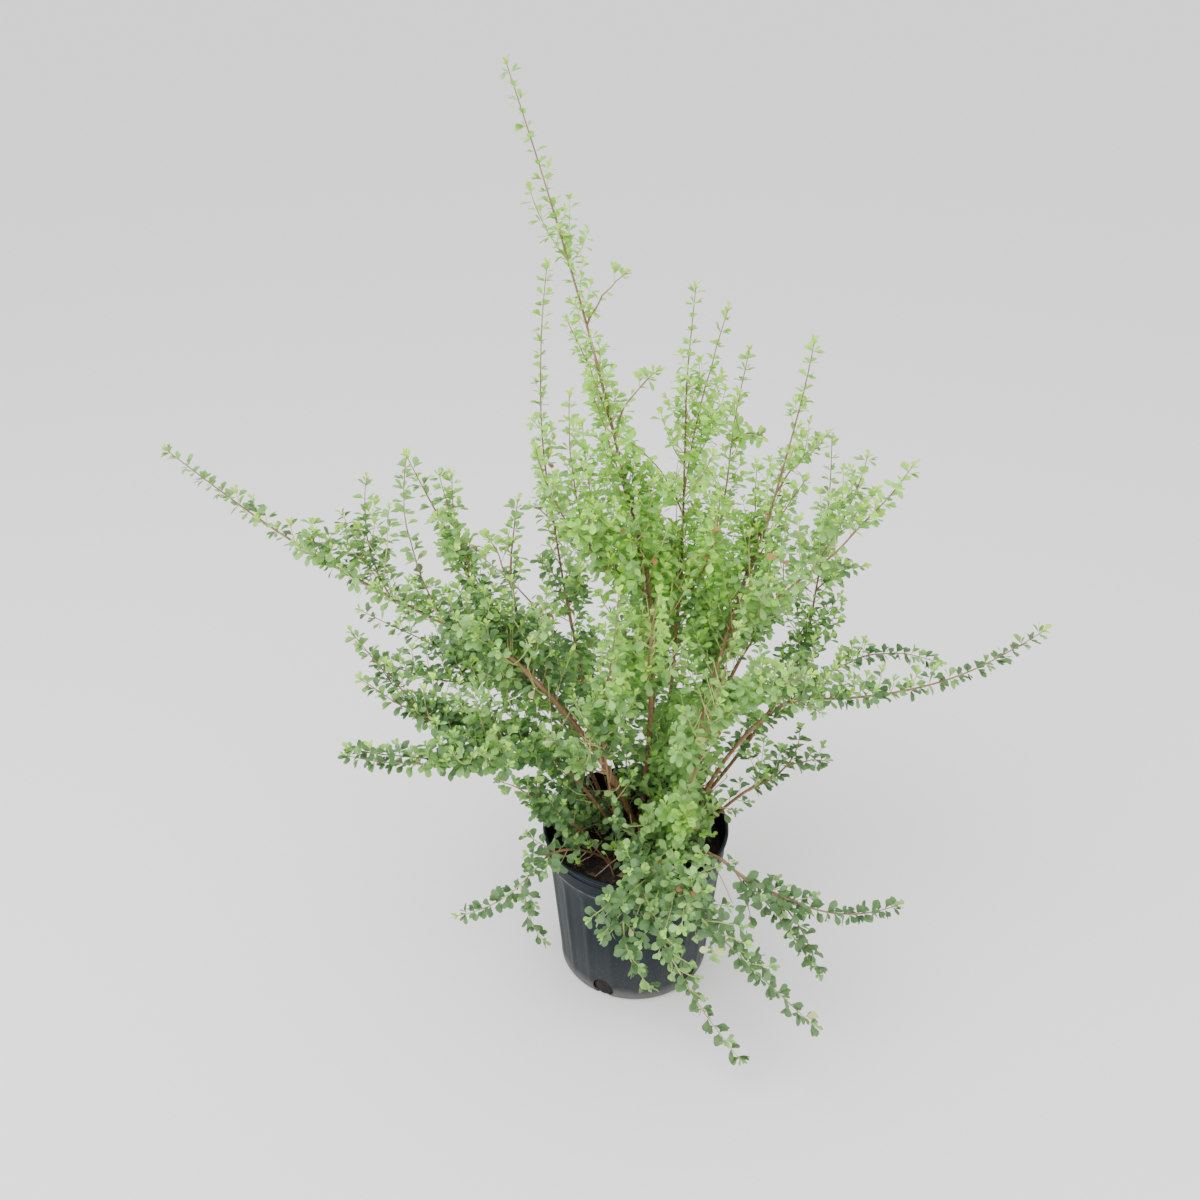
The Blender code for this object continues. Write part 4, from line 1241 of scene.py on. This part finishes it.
def along_rings(shoot, rings):
    """For each ring of a shoot: distance, middle and two directions across it, untwisted."""
    across = None
    for ring in range(rings + 1):
        distance = shoot.length * ring / rings
        point, along = shoot.place(distance)
        across = along.orthogonal() if across is None else across - along * across.dot(along)
        across.normalize()
        yield distance, point, across, along.cross(across)


def round_ring(across, up, sides):
    """Angle and direction of each side of a ring."""
    for side in range(sides):
        angle = side * math.tau / sides
        yield angle, across * math.cos(angle) + up * math.sin(angle)


def join_rings(faces, base, rings, sides):
    """Faces between the rings that start at base, and over both ends."""
    for ring in range(rings):
        for side in range(sides):
            a = base + ring * sides + side
            b = base + ring * sides + (side + 1) % sides
            faces.append((a, b, b + sides, a + sides))
    faces.append(tuple(base + side for side in reversed(range(sides))))
    faces.append(tuple(base + rings * sides + side for side in range(sides)))


def tube_arrays(shoots, sides, spacing):
    """Vertices and faces of tapering closed tubes along the shoots."""
    vertices, faces = [], []
    for shoot in shoots:
        rings = max(3, round(shoot.length / spacing))
        base = len(vertices)
        for distance, point, across, up in along_rings(shoot, rings):
            radius = shoot.radius(distance)
            vertices += [point + way * radius for _, way in round_ring(across, up, sides)]
        join_rings(faces, base, rings, sides)
    return vertices, faces


class OREGANO_OT_stems(bpy.types.Operator):
    """Model the woody stems with swollen joints and ridged bark"""
    bl_idname = "oregano.stems"
    bl_label = "Woody stems"

    def execute(self, context):
        s = context.scene.oregano_stem
        growth = grow_plant()
        vertices, faces = [], []
        for stem in STEMS:
            limb = growth.limbs[stem.name]
            root = limb[0] - (limb[1] - limb[0]).normalized() * ROOT_DEPTH
            shoot = Shoot([root] + limb, stem.thick * stem.slender, stem.thin * stem.slender)
            self.add_limb(shoot, s, vertices, faces)
        bark = bark_finish("stem_bark_old", s.bark, s.bark_pale, 0.85, young=0.40)
        piece = new_piece("woody_stems", vertices, faces, bark)
        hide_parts(*(stem.name for stem in STEMS))
        return {"FINISHED"}

    @staticmethod
    def add_limb(shoot, s, vertices, faces):
        """One limb's rings: ridges along it, joints and a flare at its foot."""
        rings = max(8, round(shoot.length / s.ring))
        base = len(vertices)
        for distance, point, across, up in along_rings(shoot, rings):
            radius = shoot.radius(distance)
            flare = 0.55 * math.exp(-max(0.0, distance - ROOT_DEPTH) / 0.010)
            joint = (distance % s.joint) / s.joint - 0.5
            swell = 0.16 * math.exp(-(joint * s.joint / 0.0025) ** 2)
            for angle, way in round_ring(across, up, s.sides):
                grain = noise.noise(Vector(polar(2.2, angle, distance * 22 + point.x * 40)))
                ridge = noise.noise(Vector(polar(5, angle, distance * 60 + point.y * 40)))
                size = radius * (1 + flare + swell + s.relief * grain + s.relief * 0.6 * ridge)
                vertices.append(point + way * size)
        join_rings(faces, base, rings, s.sides)


class OREGANO_OT_twigs(bpy.types.Operator):
    """Model the thin shoots of every mass, brown at the base and green at the tips"""
    bl_idname = "oregano.twigs"
    bl_label = "Twigs"

    def execute(self, context):
        s = context.scene.oregano_stem
        growth = grow_plant()
        masses = [mass.name for mass in MASSES]
        batches = (
            ("leading_shoots", growth.axes, 6, 0.008,
             shoot_finish("young_bark", s.young, times(s.bark_pale, 0.75))),
            ("runners", growth.runners, 6, 0.008, shoot_finish("runner_green", s.green, s.young)),
            ("side_twigs", growth.twigs, 4, 0.012, shoot_finish("twig_bark", s.green, s.young)),
            ("soft_twigs", growth.soft, 4, 0.012, shoot_finish("twig_green", s.green, s.green)),
        )
        for name, shoots, sides, spacing, finish in batches:
            vertices, faces = tube_arrays(shoots, sides, spacing)
            piece = new_piece(name, vertices, faces, finish)
            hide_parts(*masses)
        return {"FINISHED"}


# --- leaves ---

# Outlines of a leaf: share of its length and half width there, from the foot to the tip
LEAF_ROWS = ((0.00, 0.020), (0.12, 0.035), (0.30, 0.17), (0.50, 0.38), (0.69, 0.50),
             (0.86, 0.40), (0.96, 0.18))
SMALL_LEAF_ROWS = ((0.00, 0.03), (0.28, 0.20), (0.58, 0.49), (0.84, 0.40))


def leaf_template(outline):
    """A unit blade: rows of left edge, midrib and right edge, then the tip.

    Returns the flat points, how far each one sinks with bend, how far it lifts with fold,
    and the faces.
    """
    flat, faces = [], []
    for along, half in outline:
        flat += [(along, -half, 0), (along, 0, 0), (along, half, 0)]
    flat.append((1.0, 0, 0))
    for row in range(len(outline) - 1):
        a = 3 * row
        faces += [(a, a + 3, a + 1), (a + 1, a + 3, a + 4)]
        faces += [(a + 1, a + 4, a + 2), (a + 2, a + 4, a + 5)]
    a = 3 * (len(outline) - 1)
    faces += [(a, a + 3, a + 1), (a + 1, a + 3, a + 2)]
    flat = np.array(flat, float)
    return flat, flat[:, 0] ** 2, np.abs(flat[:, 1]), np.array(faces)


def leaf_arrays(rows, width, outline=LEAF_ROWS):
    """The rows' leaves as one block of points and one block of faces."""
    flat, sink, lift, faces = leaf_template(outline)
    data = np.array(rows, float)
    root, way, face = data[:, 0:3], data[:, 3:6], data[:, 6:9]
    length, bend, fold, wide = data[:, LENGTH_COLUMN:].T
    across = np.cross(face, way)
    across /= np.maximum(np.linalg.norm(across, axis=1, keepdims=True), 1e-9)
    top = np.cross(way, across)
    x = flat[None, :, 0] * length[:, None]
    y = flat[None, :, 1] * (length * width * wide)[:, None]
    z = (lift[None, :] * fold[:, None] * width - sink[None, :] * bend[:, None]) * length[:, None]
    points = (root[:, None, :] + x[..., None] * way[:, None, :] + y[..., None] * across[:, None, :]
              + z[..., None] * top[:, None, :])
    offsets = np.arange(len(data))[:, None, None] * len(flat)
    return points.reshape(-1, 3), (faces[None] + offsets).reshape(-1, 3)


def mesh_of_arrays(name, points, faces):
    mesh = bpy.data.meshes.new(name)
    mesh.vertices.add(len(points))
    mesh.vertices.foreach_set("co", points.ravel())
    mesh.loops.add(faces.size)
    mesh.loops.foreach_set("vertex_index", faces.ravel().astype(np.int32))
    mesh.polygons.add(len(faces))
    mesh.polygons.foreach_set("loop_start", np.arange(0, faces.size, 3, dtype=np.int32))
    mesh.update()
    mesh.validate()
    return mesh


class OREGANO_OT_leaves(bpy.types.Operator):
    """Model every leaf, in pieces by tone and size"""
    bl_idname = "oregano.leaves"
    bl_label = "Leaves"

    def execute(self, context):
        s = context.scene.oregano_leaf
        growth = grow_plant()
        masses = [mass.name for mass in MASSES]
        for tone, rows in zip(TONES, growth.leaves):
            finish = leaf_finish(tone, getattr(s, tone))
            large = [row for row in rows if row[LENGTH_COLUMN] >= s.large]
            small = [row for row in rows if row[LENGTH_COLUMN] < s.large]
            kinds = (("large", large, LEAF_ROWS), ("small", small, SMALL_LEAF_ROWS))
            for kind, batch, outline in kinds:
                for part, first in enumerate(range(0, len(batch), LEAVES_A_PIECE)):
                    piece_rows = batch[first:first + LEAVES_A_PIECE]
                    points, faces = leaf_arrays(piece_rows, s.width, outline)
                    name = f"{kind}_leaves_{tone}_{part + 1}"
                    piece = place_piece(name, mesh_of_arrays(name, points, faces), finish)
                    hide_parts(*masses)
        return {"FINISHED"}


# Dead twigs on the mix and over the rim: four points of each
DRY_TWIGS = (
    ((-0.03, 0.02, 0.225), (-0.06, 0.00, 0.250), (-0.09, -0.04, 0.262), (-0.12, -0.09, 0.266)),
    ((-0.03, 0.03, 0.224), (-0.05, 0.04, 0.250), (-0.065, 0.05, 0.280), (-0.08, 0.05, 0.320)),
    ((-0.08, 0.05, 0.270), (-0.05, 0.05, 0.270), (-0.03, 0.04, 0.280), (-0.01, 0.04, 0.290)),
    ((-0.06, 0.00, 0.250), (-0.07, 0.01, 0.256), (-0.09, 0.00, 0.262), (-0.10, -0.01, 0.262)),
    ((-0.07, 0.02, 0.224), (-0.08, 0.02, 0.240), (-0.085, 0.02, 0.262), (-0.09, 0.03, 0.280)),
    ((-0.05, -0.01, 0.224), (-0.06, -0.04, 0.232), (-0.07, -0.06, 0.236), (-0.09, -0.07, 0.232)),
    ((0.06, -0.01, 0.224), (0.09, -0.06, 0.262), (0.13, -0.11, 0.264), (0.17, -0.14, 0.255)),
    ((0.05, 0.00, 0.224), (0.08, -0.04, 0.262), (0.11, -0.10, 0.262), (0.13, -0.15, 0.235)),
    ((0.00, 0.02, 0.224), (-0.01, -0.03, 0.238), (-0.03, -0.06, 0.236), (-0.06, -0.09, 0.228)),
    ((0.09, 0.03, 0.224), (0.08, -0.01, 0.240), (0.09, -0.04, 0.244), (0.10, -0.05, 0.236)),
)


class OREGANO_OT_dry_twigs(bpy.types.Operator):
    """Lay a few bare dead twigs over the potting mix and the rim"""
    bl_idname = "oregano.dry_twigs"
    bl_label = "Dry twigs"

    def execute(self, context):
        s = context.scene.oregano_stem
        rng = random.Random(31)
        steps = 6
        shoots = []
        for corners in DRY_TWIGS:
            fine = []
            for first, second in zip(corners, corners[1:]):
                first, second = Vector(first), Vector(second)
                fine += [first.lerp(second, step / steps) for step in range(steps)]
            fine.append(Vector(corners[-1]))
            shoots.append(Shoot(wandered(smoothed(fine, 6), rng, 0.004), 0.0013, 0.0006))
        vertices, faces = tube_arrays(shoots, 6, 0.004)
        finish = bark_finish("dry_wood", s.dry, s.bark_pale, 0.6)
        piece = new_piece("dry_twigs", vertices, faces, finish)
        return {"FINISHED"}


class OREGANO_OT_litter(bpy.types.Operator):
    """Drop curled withered leaves on the potting mix"""
    bl_idname = "oregano.litter"
    bl_label = "Fallen leaves"

    def execute(self, context):
        pot = context.scene.oregano_pot
        s = context.scene.oregano_leaf
        rng = random.Random(23)
        rows = []
        for point in scatter_points(pot.litter, wall_radius(pot, SOIL_TOP) - 0.022, rng):
            way = Vector((rng.gauss(0, 1), rng.gauss(0, 1), rng.uniform(-0.15, 0.3))).normalized()
            face = UP + random_way(rng) * 0.5
            rows.append((*(point + UP * 0.003), *way, *face, rng.uniform(0.008, 0.016),
                         rng.uniform(-0.5, 0.5), rng.uniform(0.2, 1.1), rng.uniform(0.7, 1.0)))
        for name, colour, batch in (("fallen_leaves_brown", s.withered, rows[::2]),
                                    ("fallen_leaves_pale", s.straw, rows[1::2])):
            points, faces = leaf_arrays(batch, s.width)
            mesh = mesh_of_arrays(name, points, faces)
            piece = place_piece(name, mesh, leaf_finish(name, times(colour, 0.5)))
        return {"FINISHED"}


# --- stage ---

class OREGANO_OT_stage(bpy.types.Operator):
    """Lay the pale floor, hang the soft lights and set the camera"""
    bl_idname = "oregano.stage"
    bl_label = "Stage"

    def execute(self, context):
        s = context.scene.oregano_stage
        scene = context.scene
        floor_finish = Shader("floor_paper")
        tooth = floor_finish.noise(900.0, 2.0)
        floor_finish.finish(base_color=rgba(s.floor), roughness=0.82 + 0.08 * tooth)
        bpy.ops.mesh.primitive_plane_add(size=60, location=(0, 0, 0))
        floor = context.object
        floor.name = "floor"
        floor.data.materials.append(floor_finish.material)
        world = bpy.data.worlds.new("studio")
        world.use_nodes = True
        sky = world.node_tree.nodes["Background"]
        sky.inputs["Color"].default_value = (1.0, 1.0, 1.0, 1.0)
        sky.inputs["Strength"].default_value = s.sky
        scene.world = world
        self.hang("key", (-1.4, -1.2, 3.0), 2.4, s.key, scene)
        self.hang("fill", (1.8, -2.2, 1.8), 2.0, s.fill, scene)
        camera = bpy.data.cameras.new("camera")
        camera.lens = s.lens
        camera.sensor_width = 36.0
        eye = bpy.data.objects.new("camera", camera)
        eye.location = s.camera
        eye.rotation_euler = (math.radians(90) - s.pitch, 0, 0)
        scene.collection.objects.link(eye)
        scene.camera = eye
        return {"FINISHED"}

    @staticmethod
    def hang(name, place, size, power, scene):
        """A square soft light that looks at the middle of the plant."""
        data = bpy.data.lights.new(name, "AREA")
        data.size = size
        data.energy = power
        lamp = bpy.data.objects.new(name, data)
        lamp.location = place
        aim = Vector((0, 0, 0.5)) - Vector(place)
        lamp.rotation_euler = aim.to_track_quat("-Z", "Y").to_euler()
        scene.collection.objects.link(lamp)


class OREGANO_PT_panel(bpy.types.Panel):
    """Sidebar panel with every setting and one button for each group of pieces"""
    bl_idname = "OREGANO_PT_panel"
    bl_label = "Potted oregano"
    bl_space_type = "VIEW_3D"
    bl_region_type = "UI"
    bl_category = "Oregano"

    def draw(self, context):
        for group in GROUPS:
            box = self.layout.box()
            settings = getattr(context.scene, group)
            for key in settings.bl_rna.properties.keys():
                if key not in ("rna_type", "name"):
                    box.prop(settings, key)
        for operator in OPERATORS:
            self.layout.operator(operator.bl_idname)


GROUPS = {
    "oregano_pot": PotSettings,
    "oregano_stem": StemSettings,
    "oregano_leaf": LeafSettings,
    "oregano_stage": StageSettings,
}
OPERATORS = (OREGANO_OT_pot, OREGANO_OT_roots, OREGANO_OT_mix, OREGANO_OT_chips, OREGANO_OT_stems,
             OREGANO_OT_twigs, OREGANO_OT_leaves, OREGANO_OT_litter, OREGANO_OT_dry_twigs,
             OREGANO_OT_stage)
CLASSES = (*GROUPS.values(), *OPERATORS, OREGANO_PT_panel)


def register():
    for cls in CLASSES:
        bpy.utils.register_class(cls)
    for key, group in GROUPS.items():
        setattr(bpy.types.Scene, key, PointerProperty(type=group))


def unregister():
    for key in GROUPS:
        delattr(bpy.types.Scene, key)
    for cls in reversed(CLASSES):
        bpy.utils.unregister_class(cls)


def main():
    """Build every piece."""
    register()
    bpy.ops.oregano.pot()
    bpy.ops.oregano.roots()
    bpy.ops.oregano.mix()
    bpy.ops.oregano.chips()
    bpy.ops.oregano.stems()
    bpy.ops.oregano.twigs()
    bpy.ops.oregano.leaves()
    bpy.ops.oregano.litter()
    bpy.ops.oregano.dry_twigs()
    bpy.ops.oregano.stage()


if __name__ == "__main__":
    main()
